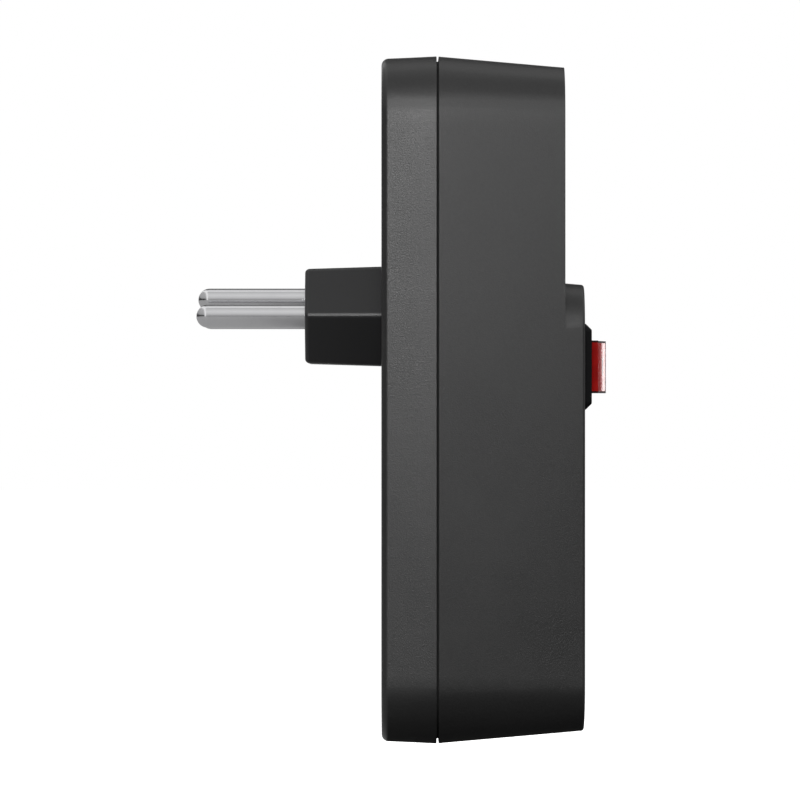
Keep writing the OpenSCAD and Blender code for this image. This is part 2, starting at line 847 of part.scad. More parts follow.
module pin(x, z) {
    color(nickel) {
        bar_forward(x, pin_len - pin_r, z, pin_r, pin_len - pin_r);
        difference() {
            translate([x, pin_len - pin_r, z])
                sphere(r = pin_r);
            bar_forward(x, pin_len - pin_r, z, pin_d, pin_d);
        }
        bar_forward(x, 0, z, pin_neck_r, -strip_back);
        bar_forward(x, -pin_collar_in, z, pin_collar_r, pin_collar_len);
        bar_forward(x, strip_back, z, rivet_r, strip_t);
        bar_forward(x, strip_front, z, rivet_head_r, rivet_head_t);
    }
}

module line_pin() {
    pin(-pin_x, 0);
}

module neutral_pin() {
    pin(pin_x, 0);
}

module earth_pin() {
    pin(0, earth_rise);
}

// A socket's recess, drawn with its middle at z = 0 and its face on the plane at y
module well(y) {
    rail_back = y + carrier_in;
    color(shell_black)
        difference() {
            union() {
                forward(y + floor_back, floor_back)
                    polygon(six_sides(socket_room + well_wall));
                forward(y + wall + well_rim_t, well_rim_t)
                    square([2 * rim_half_w, 2 * rim_half_h], center = true);
                for (side = [-1, 1]) {
                    block([side * (rail_x + rail_t / 2) - rail_t / 2, y + floor_back - well_floor / 2,
                        -carrier_half_h],
                        [side * (rail_x + rail_t / 2) + rail_t / 2, rail_back, carrier_half_h]);
                    bar_forward(side * carrier_screw_x, rail_back, side * carrier_screw_z,
                        carrier_post_r, carrier_in - wall - well_rim_t / 2);
                }
                block([-rail_x, y + floor_back, ledge_z - ledge_t], [rail_x, rail_back, ledge_z]);
            }
            forward(y + well_depth, well_depth + past)
                polygon(six_sides(socket_room));
            for (p = [[-pin_x, 0], [pin_x, 0], [0, earth_rise]])
                bar_forward(p[0], y + floor_back + past, p[1], hole_r, well_floor + 2 * past);
            for (side = [-1, 1])
                bar_forward(side * carrier_screw_x, rail_back + past, side * carrier_screw_z,
                    carrier_screw_r + fit, carrier_screw_len + 2 * past);
        }
}

module upper_well() {
    translate([0, 0, upper_socket_z])
        well(upper_y);
}

module lower_well() {
    translate([0, 0, lower_socket_z])
        well(lower_y);
}

// A safety shutter with a ramp and a window for each power pin and a slot for the earth pin
module shutter(y) {
    front = y + floor_back + shutter_gap;
    back = front + shutter_t;
    color(pale_plastic)
        difference() {
            block([-shutter_w / 2, front, -shutter_low], [shutter_w / 2, back, shutter_top]);
            for (x = [-pin_x, pin_x])
                translate([x - window_half, 0, 0])
                    rotate([90, 0, 90])
                        linear_extrude(height = 2 * window_half)
                            polygon([[front - past, ramp_low - past],
                                [back + past, ramp_low + shutter_t + past],
                                [back + past, window_high], [front - past, window_high]]);
            block([-window_half, front - past, earth_rise - window_half],
                [window_half, back + past, shutter_top + past]);
            translate([0, (front + back) / 2, -shutter_low - past])
                cylinder(r = shutter_spring_r + spring_gap, h = spring_pocket + past);
        }
}

module upper_shutter() {
    translate([0, 0, upper_socket_z])
        shutter(upper_y);
}

module lower_shutter() {
    translate([0, 0, lower_socket_z])
        shutter(lower_y);
}

module shutter_spring(y) {
    length = spring_pocket - shutter_low - ledge_z;
    color(steel)
        translate([0, y + floor_back + shutter_gap + shutter_t / 2, ledge_z])
            difference() {
                cylinder(r = shutter_spring_r, h = length);
                translate([0, 0, -past])
                    cylinder(r = shutter_spring_r - spring_wire, h = length + 2 * past);
            }
}

module upper_shutter_spring() {
    translate([0, 0, upper_socket_z])
        shutter_spring(upper_y);
}

module lower_shutter_spring() {
    translate([0, 0, lower_socket_z])
        shutter_spring(lower_y);
}

// The block behind a socket that holds its three contacts
module carrier(y, earth_side) {
    front = y + carrier_in;
    back = front + carrier_t;
    room = clip_out + clip_room;
    color(pale_plastic)
        difference() {
            union() {
                block([-carrier_half_w, front, -carrier_half_h],
                    [carrier_half_w, back, carrier_half_h]);
                for (side = [-1, 1]) {
                    block([side * (carrier_half_w + carrier_screw_x) / 2
                        - (carrier_screw_x - carrier_half_w) / 2, front,
                        side * carrier_screw_z - carrier_half_h + carrier_screw_z],
                        [side * (carrier_half_w + carrier_screw_x) / 2
                        + (carrier_screw_x - carrier_half_w) / 2, front + carrier_ear_t,
                        side * carrier_screw_z + carrier_half_h - carrier_screw_z]);
                    bar_forward(side * carrier_screw_x, front + carrier_ear_t,
                        side * carrier_screw_z, carrier_post_r, carrier_ear_t);
                }
            }
            for (side = [-1, 1]) {
                block([side * pin_x - room, front - past, -room],
                    [side * pin_x + room, back + past, room]);
                bar_forward(side * carrier_screw_x, front + carrier_ear_t + past,
                    side * carrier_screw_z, carrier_screw_r + 2 * fit,
                    carrier_ear_t + 2 * past);
            }
            block([-room, front - past, earth_rise - room],
                [room, back + past, earth_rise + room]);
        }
}

module upper_carrier() {
    translate([0, 0, upper_socket_z])
        carrier(upper_y);
}

module lower_carrier() {
    translate([0, 0, lower_socket_z])
        carrier(lower_y);
}

module carrier_screw_pair(y) {
    ear = y + carrier_in + carrier_ear_t;
    for (side = [-1, 1])
        difference() {
            union() {
                bar_forward(side * carrier_screw_x, ear + carrier_screw_head_t,
                    side * carrier_screw_z, carrier_screw_head_r, carrier_screw_head_t);
                bar_forward(side * carrier_screw_x, ear, side * carrier_screw_z,
                    carrier_screw_r, carrier_ear_t + carrier_screw_len);
            }
            cross_slot(side * carrier_screw_x, ear + carrier_screw_head_t,
                side * carrier_screw_z, carrier_screw_head_r);
        }
}

module carrier_screws() {
    color(steel) {
        translate([0, 0, upper_socket_z])
            carrier_screw_pair(upper_y);
        translate([0, 0, lower_socket_z])
            carrier_screw_pair(lower_y);
    }
}

// A contact with two leaves above and below its pin, and a tail back to the strip beside it
module power_clip(y) {
    front = y + carrier_in + clip_set_in;
    back = y + carrier_in + carrier_t - clip_set_in;
    color(brass) {
        block([pin_x + clip_half, front, -clip_out], [pin_x + clip_out, back, clip_out]);
        for (z = [clip_half, -clip_out])
            block([pin_x - clip_half, front, z], [pin_x + clip_half, back, z + clip_t]);
        block([pin_x + clip_half, back, -tail_half], [pin_x + clip_out, strip_back, tail_half]);
    }
}

// A contact with a leaf on each side of the earth pin, and its back towards the other socket
module earth_clip(y, up) {
    front = y + carrier_in + clip_set_in;
    back = y + carrier_in + carrier_t - clip_set_in;
    color(brass)
        translate([0, 0, earth_rise])
            mirror([0, 0, up ? 0 : 1]) {
                block([-clip_out, front, -clip_out], [clip_out, back, -clip_half]);
                for (x = [clip_half, -clip_out])
                    block([x, front, -clip_half], [x + clip_t, back, clip_half]);
                block([-tail_half, back, -clip_out], [tail_half, strip_back, -clip_half]);
            }
}

module upper_line_clip() {
    translate([0, 0, upper_socket_z])
        mirror([1, 0, 0])
            power_clip(upper_y);
}

module upper_neutral_clip() {
    translate([0, 0, upper_socket_z])
        power_clip(upper_y);
}

module upper_earth_clip() {
    translate([0, 0, upper_socket_z])
        earth_clip(upper_y, true);
}

module lower_line_clip() {
    translate([0, 0, lower_socket_z])
        mirror([1, 0, 0])
            power_clip(lower_y);
}

module lower_neutral_clip() {
    translate([0, 0, lower_socket_z])
        power_clip(lower_y);
}

module lower_earth_clip() {
    translate([0, 0, lower_socket_z])
        earth_clip(lower_y, false);
}

// A flat strip beside the two sockets, with a tab to each socket's contact
module power_strip() {
    block([strip_x, strip_front, lower_socket_z - strip_over],
        [strip_x + strip_w, strip_back, upper_socket_z + strip_over]);
    for (z = [upper_socket_z, lower_socket_z])
        block([pin_x + clip_out, strip_front, z - tail_half],
            [strip_x, strip_back, z + tail_half]);
}

module line_busbar() {
    color(brass)
        mirror([1, 0, 0])
            power_strip();
}

module neutral_busbar() {
    half = rivet_head_r + pad_over;
    color(brass)
        difference() {
            union() {
                power_strip();
                block([pin_x - half, strip_front, -half], [strip_x, strip_back, half]);
            }
            bar_forward(pin_x, strip_back + past, 0, rivet_r + fit, strip_t + 2 * past);
        }
}

module earth_busbar() {
    half = rivet_head_r + pad_over;
    high = upper_socket_z + earth_rise - clip_out;
    low = lower_socket_z + earth_rise + clip_out;
    color(brass)
        difference() {
            block([-half, strip_front, low], [half, strip_back, high]);
            bar_forward(0, strip_back + past, earth_rise, rivet_r + fit, strip_t + 2 * past);
        }
}

// From the line pin, round the front of the earth strip, to the middle tab of the switch
module live_strip() {
    half = rivet_head_r + pad_over;
    front = live_y - strip_t;
    tab_side = tab_t / 2;
    color(brass) {
        difference() {
            block([-pin_x - half, strip_front, -half], [-pin_x + half, strip_back, half]);
            bar_forward(-pin_x, strip_back + past, 0, rivet_r + fit, strip_t + 2 * past);
        }
        block([-pin_x - half, front, -half - strip_t], [-pin_x + half, strip_back, -half]);
        block([-pin_x - half, front, -half - live_w], [tab_side + strip_t, live_y, -half]);
        block([tab_side, base_y + tab_len - tab_overlap, link_low],
            [tab_side + strip_t, live_y, -half]);
    }
}

// From the switch's outer tab to the line strip
module switched_link() {
    tab_side = -contact_x - tab_t / 2;
    edge = -strip_x - strip_w;
    color(brass) {
        block([tab_side - strip_t, base_y + tab_len - tab_overlap, link_low],
            [tab_side, link_y, link_high]);
        block([edge, link_y - strip_t, link_low], [tab_side, link_y, link_high]);
        block([edge, link_y - strip_t, link_low], [edge + strip_t, strip_front, link_high]);
    }
}

module switch_body() {
    flat = 0.05;
    color(rim_black)
        translate([0, 0, switch_z])
            difference() {
                union() {
                    towards_front(lower_y)
                        moulded_block(bezel_w / 2, -bezel_h / 2, bezel_h / 2, bezel_r, bezel_r,
                            [[0, 0], [0, bezel_t - bezel_bevel], [bezel_bevel, bezel_t]]);
                    forward(base_y, switch_depth)
                        square([switch_w, switch_h], center = true);
                    for (side = [-1, 1])
                        switch_barb(side);
                }
                forward(base_y - base_t, base_y - base_t - mouth_y + past)
                    square([mouth_w, mouth_h], center = true);
                translate([0, pivot_y, -switch_h / 2 + flat])
                    cylinder(r = trunnion_r + trunnion_gap, h = switch_h - 2 * flat);
                for (x = [-contact_x, 0, contact_x])
                    block([x - tab_t / 2 - flat, base_y - base_t - past, -tab_w / 2 - flat],
                        [x + tab_t / 2 + flat, base_y + past, tab_w / 2 + flat]);
            }
}

// A barb that keeps the switch in its hole
module switch_barb(side) {
    half_h = 3;
    start = lower_y + wall + seat_gap;
    translate([0, 0, -half_h])
        linear_extrude(height = 2 * half_h)
            polygon([[side * (switch_w / 2 - barb_root), start],
                [side * (switch_w / 2 + barb_out), start],
                [side * (switch_w / 2 - barb_root), start + barb_len]]);
}

// Turns what is drawn with the rocker level to its rest, with its -X end pressed in
module rocker_at_rest() {
    translate([0, pivot_y, switch_z])
        rotate([0, 0, -rocker_tip])
            children();
}

// Height of the rocker's face over its pivot
function rocker_face(x, drop) = rocker_end_h - drop
    + (hypotenuse(x, rocker_dip) - hypotenuse(rocker_half, rocker_dip)) * tan(rocker_tip);

// The rocker's side outline, drawn in X and -Y
module rocker_outline(shrink, skirt) {
    steps = 12;
    half = rocker_half - shrink;
    face = [
        for (i = [0:steps]) let (x = half * (2 * i / steps - 1)) [x, rocker_face(x, shrink)]
    ];
    polygon(concat([[-half, -skirt]], face, [[half, -skirt]]));
}

module rocker() {
    hollow_half = rocker_h / 2 - rocker_wall;
    trunnion_end = switch_h / 2 - trunnion_short;
    color(lens_red)
        rocker_at_rest() {
            difference() {
                translate([0, 0, -rocker_h / 2])
                    mirror([0, 1, 0])
                        linear_extrude(height = rocker_h)
                            rocker_outline(0, rocker_skirt);
                difference() {
                    translate([0, 0, -hollow_half])
                        mirror([0, 1, 0])
                            linear_extrude(height = 2 * hollow_half)
                                rocker_outline(rocker_wall, rocker_skirt + past);
                    bar_forward(0, stem_reach, 0, stem_r, 2 * stem_reach);
                }
                bar_forward(0, stem_reach, 0, plunger_r + fit, stem_reach - spring_top);
            }
            difference() {
                bar_forward(0, stem_reach, 0, stem_r, stem_reach - rocker_skirt);
                bar_forward(0, stem_reach + past, 0, plunger_r + fit,
                    stem_reach + past - spring_top);
            }
            for (side = [-1, 1])
                translate([0, 0, side * (rocker_h / 2 + trunnion_end) / 2])
                    cylinder(r = trunnion_r, h = trunnion_end - rocker_h / 2, center = true);
        }
}

module plunger() {
    color(steel)
        rocker_at_rest() {
            bar_forward(0, plunger_reach - plunger_r, 0, plunger_r,
                plunger_reach - plunger_r - plunger_top);
            translate([0, plunger_reach - plunger_r, 0])
                sphere(r = plunger_r);
        }
}

module plunger_spring() {
    color(steel)
        rocker_at_rest()
            difference() {
                bar_forward(0, plunger_top, 0, plunger_r, plunger_top - spring_top);
                bar_forward(0, plunger_top + past, 0, plunger_r - spring_wire,
                    plunger_top - spring_top + 2 * past);
            }
}

// The see-saw of the switch, tipped the other way from the rocker
module contact_bar() {
    color(brass)
        translate([0, bar_y, switch_z])
            rotate([0, 0, rocker_tip]) {
                difference() {
                    cylinder(r = bar_saddle_r + bar_t, h = bar_w, center = true);
                    cylinder(r = bar_saddle_r, h = bar_w + 2 * past, center = true);
                    block([-bar_end_r, 0, -bar_w], [bar_end_r, bar_end_r, bar_w]);
                }
                block([bar_saddle_r + bar_t / 2, -bar_t, -bar_w / 2],
                    [switch_arm, 0, bar_w / 2]);
                block([-contact_x - contact_r, -bar_t, -bar_w / 2],
                    [-bar_saddle_r - bar_t / 2, 0, bar_w / 2]);
                bar_forward(-contact_x, button_t, 0, contact_r, button_t);
            }
}

// A flat tab through the switch's base, with its inner end at y
module tab(x, y) {
    inner_half = 1.8;
    block([x - tab_t / 2, base_y - base_t, switch_z - tab_w / 2],
        [x + tab_t / 2, base_y + tab_len, switch_z + tab_w / 2]);
    block([x - tab_t / 2, y, switch_z - inner_half],
        [x + tab_t / 2, base_y - base_t, switch_z + inner_half]);
}

module supply_terminal() {
    color(brass) {
        tab(0, bar_y);
        translate([0, bar_y, switch_z])
            cylinder(r = bar_rod_r, h = bar_w + 2 * rod_over, center = true);
    }
}

// Its contact stops just short of the bar when the bar is tipped to it
module load_terminal() {
    closed = bar_y + (contact_x + contact_r) * sin(rocker_tip)
        + button_t * cos(rocker_tip) + 2 * fit;
    color(brass) {
        tab(-contact_x, closed + button_t);
        bar_forward(-contact_x, closed + button_t, switch_z, contact_r + pad_room, button_t);
    }
}

module lamp_terminal() {
    color(brass)
        tab(contact_x, base_y - base_t - resistor_r - 2 * lead_r);
}

// A small glow lamp with two straight leads
module switch_lamp() {
    y = pivot_y + lamp_in;
    color(tape_yellow) {
        translate([lamp_x, y, switch_z])
            cylinder(r = lamp_r, h = lamp_len, center = true);
        for (side = [-1, 1])
            bar_forward(lamp_x, base_y - base_t, switch_z + side * (lamp_len / 2 - lead_r),
                lead_r, base_y - base_t - y);
    }
}

// It lies on the switch's base, with a lead to the lamp's tab
module lamp_resistor() {
    middle = [resistor_x, base_y - base_t - resistor_r, switch_z];
    color(pale_plastic) {
        translate(middle)
            cylinder(r = resistor_r, h = resistor_len, center = true);
        rod(middle, [contact_x - tab_t / 2, middle[1], middle[2]], lead_r);
    }
}

module usb_board() {
    color(board_green)
        difference() {
            block([-board_w / 2, board_y, board_low], [board_w / 2, board_back, board_high]);
            for (side = [-1, 1])
                bar_forward(0, board_back + past, port_z + side * board_screw_z,
                    board_screw_r + 2 * fit, board_t + 2 * past);
        }
}

module board_screws() {
    color(steel)
        for (side = [-1, 1])
            difference() {
                union() {
                    bar_forward(0, board_back + board_head_t, port_z + side * board_screw_z,
                        board_head_r, board_head_t);
                    bar_forward(0, board_back, port_z + side * board_screw_z,
                        board_screw_r, board_t + board_screw_len);
                }
                cross_slot(0, board_back + board_head_t, port_z + side * board_screw_z,
                    board_head_r);
            }
}

// A port's metal shell, open at the front
module port_shell(x) {
    color(steel)
        translate([x, 0, port_z])
            difference() {
                forward(board_y, port_len)
                    square([port_w, port_h], center = true);
                forward(board_y + past, port_len + 2 * past)
                    square([port_w - 2 * port_wall, port_h - 2 * port_wall], center = true);
            }
}

// A port's moulded base and tongue, with grooves for its contacts
module port_insert(x) {
    base_front = board_y - insert_t;
    color(part_dark)
        translate([x, 0, port_z])
            difference() {
                union() {
                    forward(board_y, insert_t)
                        square([port_w - 2 * port_wall - 2 * fit,
                            port_h - 2 * port_wall - 2 * fit], center = true);
                    block([-tongue_w / 2, base_front - tongue_len, tongue_z],
                        [tongue_w / 2, base_front, tongue_z + tongue_t]);
                }
                contact_strips(0, past);
            }
}

// Four contact strips under a tongue, which run back through its base
module contact_strips(x, extra) {
    for (c = contact_spots)
        block([x + c - contact_w / 2, board_y - insert_t - tongue_len + contact_short,
            tongue_z - contact_t],
            [x + c + contact_w / 2, board_y + extra, tongue_z]);
}

module usb_left_shell() {
    port_shell(-port_pitch / 2);
}

module usb_right_shell() {
    port_shell(port_pitch / 2);
}

module usb_left_insert() {
    port_insert(-port_pitch / 2);
}

module usb_right_insert() {
    port_insert(port_pitch / 2);
}

module usb_left_contacts() {
    color(brass)
        translate([0, 0, port_z])
            contact_strips(-port_pitch / 2, 0);
}

module usb_right_contacts() {
    color(brass)
        translate([0, 0, port_z])
            contact_strips(port_pitch / 2, 0);
}

// Moves what stands on the board to the transformer's place
module at_core() {
    translate([core_w / 2 + core_side - board_w / 2, 0, port_z - core_drop])
        children();
}

module transformer_core() {
    window_w = core_w / 2 - core_leg - core_mid / 2;
    window_h = winding_h + 2 * winding_gap;
    low = board_back + (core_h - window_h) / 2;
    color(part_dark)
        at_core()
            difference() {
                block([-core_w / 2, board_back, -core_t / 2],
                    [core_w / 2, board_back + core_h, core_t / 2]);
                for (side = [-1, 1])
                    translate([side * (core_mid + window_w) / 2, 0, 0])
                        block([-window_w / 2, low, -core_t], [window_w / 2, low + window_h, core_t]);
            }
}

module transformer_winding() {
    half_w = core_w / 2 - core_leg - winding_gap;
    hole = [core_mid / 2 + winding_gap, 0, core_t / 2 + winding_gap];
    low = board_back + (core_h - winding_h) / 2;
    color(tape_yellow)
        at_core()
            difference() {
                block([-half_w, low, -winding_l / 2], [half_w, low + winding_h, winding_l / 2]);
                block([0, low - past, 0] - hole, [0, low + winding_h + past, 0] + hole);
            }
}

// A round capacitor that stands on the board near its side
module can(z, r, h) {
    bar_forward(board_w / 2 - can_side - r, board_back + h, z, r, h);
}

module input_capacitor() {
    color(sleeve_blue)
        can(port_z + input_rise, input_r, input_h);
}

module output_capacitor() {
    color(sleeve_blue)
        can(port_z - output_drop, output_r, output_h);
}

// A flat chip on the board
module chip(z, high, thick) {
    block([chip_x - chip_w / 2, board_back, z - high / 2],
        [chip_x + chip_w / 2, board_back + thick, z + high / 2]);
}

module bridge_rectifier() {
    color(part_dark)
        chip(port_z + rectifier_rise, rectifier_h, rectifier_t);
}

module controller_chip() {
    color(part_dark)
        chip(port_z - chip_drop, chip_h, chip_t);
}

module fuse_resistor() {
    start = [fuse_side - board_w / 2, board_back + fuse_r, port_z + fuse_rise];
    color(sleeve_blue)
        rod(start, start + [fuse_len, 0, 0], fuse_r);
}

module safety_capacitor() {
    y = board_back + disc_lift + disc_r;
    z = port_z + disc_rise;
    color(sleeve_blue) {
        rod([chip_x, y, z - disc_t / 2], [chip_x, y, z + disc_t / 2], disc_r);
        for (side = [-1, 1])
            translate([side * disc_pitch / 2, 0, 0])
                rod([chip_x, board_back, z], [chip_x, y, z], disc_lead_r);
    }
}

// From the foot of a power strip down and then forward to the board
module supply_wire() {
    end_z = lower_socket_z - strip_over;
    y = (strip_front + strip_back) / 2;
    translate([strip_x + wire_r, y, end_z])
        rotate([0, 90, 0])
            mirror([0, 1, 0])
                bent_wire(end_z - wire_low, y - board_back, wire_r);
}

module usb_line_wire() {
    color(wire_brown)
        mirror([1, 0, 0])
            supply_wire();
}

module usb_neutral_wire() {
    color(sleeve_blue)
        supply_wire();
}

module lamp_wire() {
    start = [contact_x + tab_t / 2, base_y + tab_len - lamp_wire_in, switch_z];
    color(sleeve_blue)
        translate(start)
            bent_wire(strip_x + strip_w / 2 - start[0], strip_front - start[1], wire_r);
}

front_housing();
rear_cover();
housing_screws();
plug_block();
line_pin();
neutral_pin();
earth_pin();
upper_well();
lower_well();
upper_shutter();
lower_shutter();
upper_shutter_spring();
lower_shutter_spring();
upper_carrier();
lower_carrier();
carrier_screws();
upper_line_clip();
upper_neutral_clip();
upper_earth_clip();
lower_line_clip();
lower_neutral_clip();
lower_earth_clip();
line_busbar();
neutral_busbar();
earth_busbar();
live_strip();
switched_link();
switch_body();
rocker();
plunger();
plunger_spring();
contact_bar();
supply_terminal();
load_terminal();
lamp_terminal();
switch_lamp();
lamp_resistor();
usb_board();
board_screws();
usb_left_shell();
usb_right_shell();
usb_left_insert();
usb_right_insert();
usb_left_contacts();
usb_right_contacts();
transformer_core();
transformer_winding();
input_capacitor();
output_capacitor();
bridge_rectifier();
controller_chip();
fuse_resistor();
safety_capacitor();
usb_line_wire();
usb_neutral_wire();
lamp_wire();
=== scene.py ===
"""Looks of a double socket adapter with a rocker switch and two charging ports."""
import json
import logging
import math
from collections.abc import Callable, Sequence
from dataclasses import dataclass, field
from enum import Enum

import bmesh
import bpy
from mathutils import Matrix, Vector

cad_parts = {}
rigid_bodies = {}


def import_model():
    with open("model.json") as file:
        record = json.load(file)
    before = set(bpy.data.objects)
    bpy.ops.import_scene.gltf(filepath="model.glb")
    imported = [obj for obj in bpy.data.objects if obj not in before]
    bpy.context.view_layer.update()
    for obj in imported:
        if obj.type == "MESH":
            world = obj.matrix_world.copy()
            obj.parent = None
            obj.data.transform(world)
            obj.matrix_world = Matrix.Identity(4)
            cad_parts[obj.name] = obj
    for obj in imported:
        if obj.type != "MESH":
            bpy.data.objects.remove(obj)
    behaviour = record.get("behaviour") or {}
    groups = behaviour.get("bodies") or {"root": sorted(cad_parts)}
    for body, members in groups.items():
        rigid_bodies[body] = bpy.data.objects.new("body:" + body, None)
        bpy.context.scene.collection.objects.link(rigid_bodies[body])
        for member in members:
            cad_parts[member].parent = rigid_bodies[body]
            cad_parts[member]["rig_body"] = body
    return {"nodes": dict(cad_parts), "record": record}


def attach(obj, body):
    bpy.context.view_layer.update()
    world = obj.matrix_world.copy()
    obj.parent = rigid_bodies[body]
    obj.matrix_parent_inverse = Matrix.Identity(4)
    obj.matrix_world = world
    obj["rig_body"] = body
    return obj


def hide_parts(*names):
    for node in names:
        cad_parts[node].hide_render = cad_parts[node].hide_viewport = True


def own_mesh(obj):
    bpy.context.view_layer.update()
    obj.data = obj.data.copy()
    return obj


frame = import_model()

LOG = logging.getLogger("adapter")
MM = 0.001
BMesh = bmesh.types.BMesh
Pair = tuple[float, float]
Point = tuple[float, float, float]
Colour = tuple[float, float, float]
Shade = tuple[float, float, float, float]
Stops = Sequence[Pair]


class Along(Enum):
    """Directions that a pattern or a turned piece can follow."""

    X = (1.0, 0.0, 0.0)
    Y = (0.0, 1.0, 0.0)
    Z = (0.0, 0.0, 1.0)


class Rays(Enum):
    """Kinds of rays, as outputs of the Light Path node."""

    CAMERA = 0
    GLOSSY = 3


def metres(point: Sequence[float]) -> Vector:
    """Turns a point in millimetres into a vector in metres."""
    return Vector(point) * MM


def placed(name: str, data: bpy.types.ID) -> bpy.types.Object:
    """A new object in the scene.

    Args:
        name: its name.
        data: its mesh, light or camera.

    Returns:
        The object.
    """
    thing = bpy.data.objects.new(name, data)
    bpy.context.scene.collection.objects.link(thing)
    return thing


def as_data(mesh: BMesh, name: str) -> bpy.types.Mesh:
    """Turns a mesh that is being made into data, and frees it.

    Args:
        mesh: the mesh.
        name: the data's name.

    Returns:
        The data.
    """
    data = bpy.data.meshes.new(name)
    mesh.to_mesh(data)
    mesh.free()
    return data


def grey(level: float) -> Shade:
    """A grey with full alpha."""
    return (level, level, level, 1.0)


def scaled(colour: Colour, share: float = 1.0) -> Shade:
    """A colour, or a lighter or darker one, with full alpha."""
    return tuple(min(1.0, part * share) for part in colour) + (1.0,)


def operator(operation: str, swapped: bool = False) -> Callable[..., "Value"]:
    """One of a value's operators.

    Args:
        operation: the Math node's operation.
        swapped: whether the value stands second, as in 1 - mask.

    Returns:
        The method.
    """
    def method(self: "Value", other: "Value | float") -> "Value":
        """Adds the Math node for the value and another value or number."""
        return self.nodes.maths(operation, *((other, self) if swapped else (self, other)))
    return method


class Value:
    """A shader socket that takes part in Python expressions."""

    def __init__(self, nodes: "Nodes", socket: bpy.types.NodeSocket) -> None:
        """Wraps a socket of a node tree."""
        self.nodes = nodes
        self.socket = socket

    __add__ = __radd__ = operator("ADD")
    __sub__ = operator("SUBTRACT")
    __rsub__ = operator("SUBTRACT", swapped=True)
    __mul__ = __rmul__ = operator("MULTIPLY")
    __lt__ = operator("LESS_THAN")

    def __abs__(self) -> "Value":
        """Size without sign."""
        return self.nodes.maths("ABSOLUTE", self)

    def clamped(self) -> "Value":
        """The value held between zero and one."""
        return self.nodes.add("ShaderNodeClamp", {}, {0: self})

    def mixed(self, other: "Value", share: float) -> "Value":
        """This share of the value, and the rest of another."""
        return self * share + other * (1.0 - share)


class Nodes:
    """The node tree of one material or of the world."""

    def __init__(self, owner: "bpy.types.Material | bpy.types.World") -> None:
        """Empties the owner's tree and keeps it.

        Args:
            owner: the material or the world.
        """
        owner.use_nodes = True
        self.tree = owner.node_tree
        self.tree.nodes.clear()

    def add(self, kind: str, settings: dict[str, object], values: dict[object, object],
            output: int = 0) -> Value:
        """Adds a node.

        Args:
            kind: the node's type.
            settings: its own settings, or the stops of a ramp.
            values: numbers, colours or values for its sockets, by name or number.
            output: which of its outputs to give back.

        Returns:
            The output as a value.
        """
        node = self.tree.nodes.new(kind)
        for name, setting in settings.items():
            if name == "stops":
                self._set_stops(node.color_ramp, setting)
            else:
                setattr(node, name, setting)
        for name, value in values.items():
            if isinstance(value, Value):
                self.tree.links.new(value.socket, node.inputs[name])
            else:
                node.inputs[name].default_value = value
        return Value(self, node.outputs[output] if len(node.outputs) else None)

    @staticmethod
    def _set_stops(ramp: bpy.types.ColorRamp, stops: Stops) -> None:
        """Gives a ramp its stops, as places and greys.

        Args:
            ramp: the ramp.
            stops: the place and the grey of each stop.
        """
        while len(ramp.elements) < len(stops):
            ramp.elements.new(1.0)
        for element, (place, level) in zip(ramp.elements, stops):
            element.position = place
            element.color = grey(level)

    def maths(self, operation: str, *values: "Value | float") -> Value:
        """Adds one Math node."""
        return self.add("ShaderNodeMath", {"operation": operation}, dict(enumerate(values)))

    def rays(self, kind: Rays) -> Value:
        """One for rays of that kind, and otherwise zero."""
        return self.add("ShaderNodeLightPath", {}, {}, kind.value)

    def part(self, vector: Value, along: Along) -> Value:
        """One part of a vector."""
        return self.add("ShaderNodeSeparateXYZ", {}, {0: vector}, list(Along).index(along))

    def place(self) -> Value:
        """The point on the surface, in the object's own frame."""
        return self.add("ShaderNodeTexCoord", {}, {}, 3)

    def stretched(self, scale: Point, shift: Point = (0.0, 0.0, 0.0)) -> Value:
        """The point on the surface, moved and then scaled along each direction.

        Args:
            scale: how much each direction is stretched.
            shift: the place that becomes the origin, in metres.

        Returns:
            The point.
        """
        moved = self.add("ShaderNodeVectorMath", {"operation": "SUBTRACT"},
                         {0: self.place(), 1: shift})
        return self.add("ShaderNodeVectorMath", {"operation": "MULTIPLY"}, {0: moved, 1: scale})

    def across(self, along: Along, centre: Point = (0.0, 0.0, 0.0)) -> Value:
        """Distance from a centre along one direction, in metres."""
        return self.part(self.place(), along) - centre[list(Along).index(along)]

    def noise(self, size: float, detail: float = 2.0, where: "Value | None" = None) -> Value:
        """Soft noise whose blotches have that size, in metres."""
        return self.add("ShaderNodeTexNoise", {},
                        {"Vector": where or self.place(), "Scale": 1.0 / size,
                         "Detail": detail, "Roughness": 0.55})

    def ramp(self, value: Value, stops: Stops) -> Value:
        """Maps a value through a ramp of greys."""
        return self.add("ShaderNodeValToRGB", {"stops": stops}, {0: value})

    def blend(self, factor: "Value | float", first: object, second: object) -> Value:
        """Mixes two colours."""
        return self.add("ShaderNodeMix", {"data_type": "RGBA"}, {0: factor, 6: first, 7: second}, 2)

    def bump(self, height: Value, depth: float, strength: float = 1.0,
             under: "Value | None" = None) -> Value:
        """Turns a height into a normal.

        Args:
            height: the height.
            depth: how deep a height of one is, in metres.
            strength: how much of the bump shows.
            under: a normal that it adds to, if there is one.

        Returns:
            The normal.
        """
        values: dict[object, object] = {"Height": height, "Distance": depth, "Strength": strength}
        if under is not None:
            values["Normal"] = under
        return self.add("ShaderNodeBump", {}, values)

    def surface(self, values: dict[object, object]) -> None:
        """Ends the tree with a shader that takes these values."""
        shader = self.add("ShaderNodeBsdfPrincipled", {}, values)
        self.add("ShaderNodeOutputMaterial", {}, {"Surface": shader})


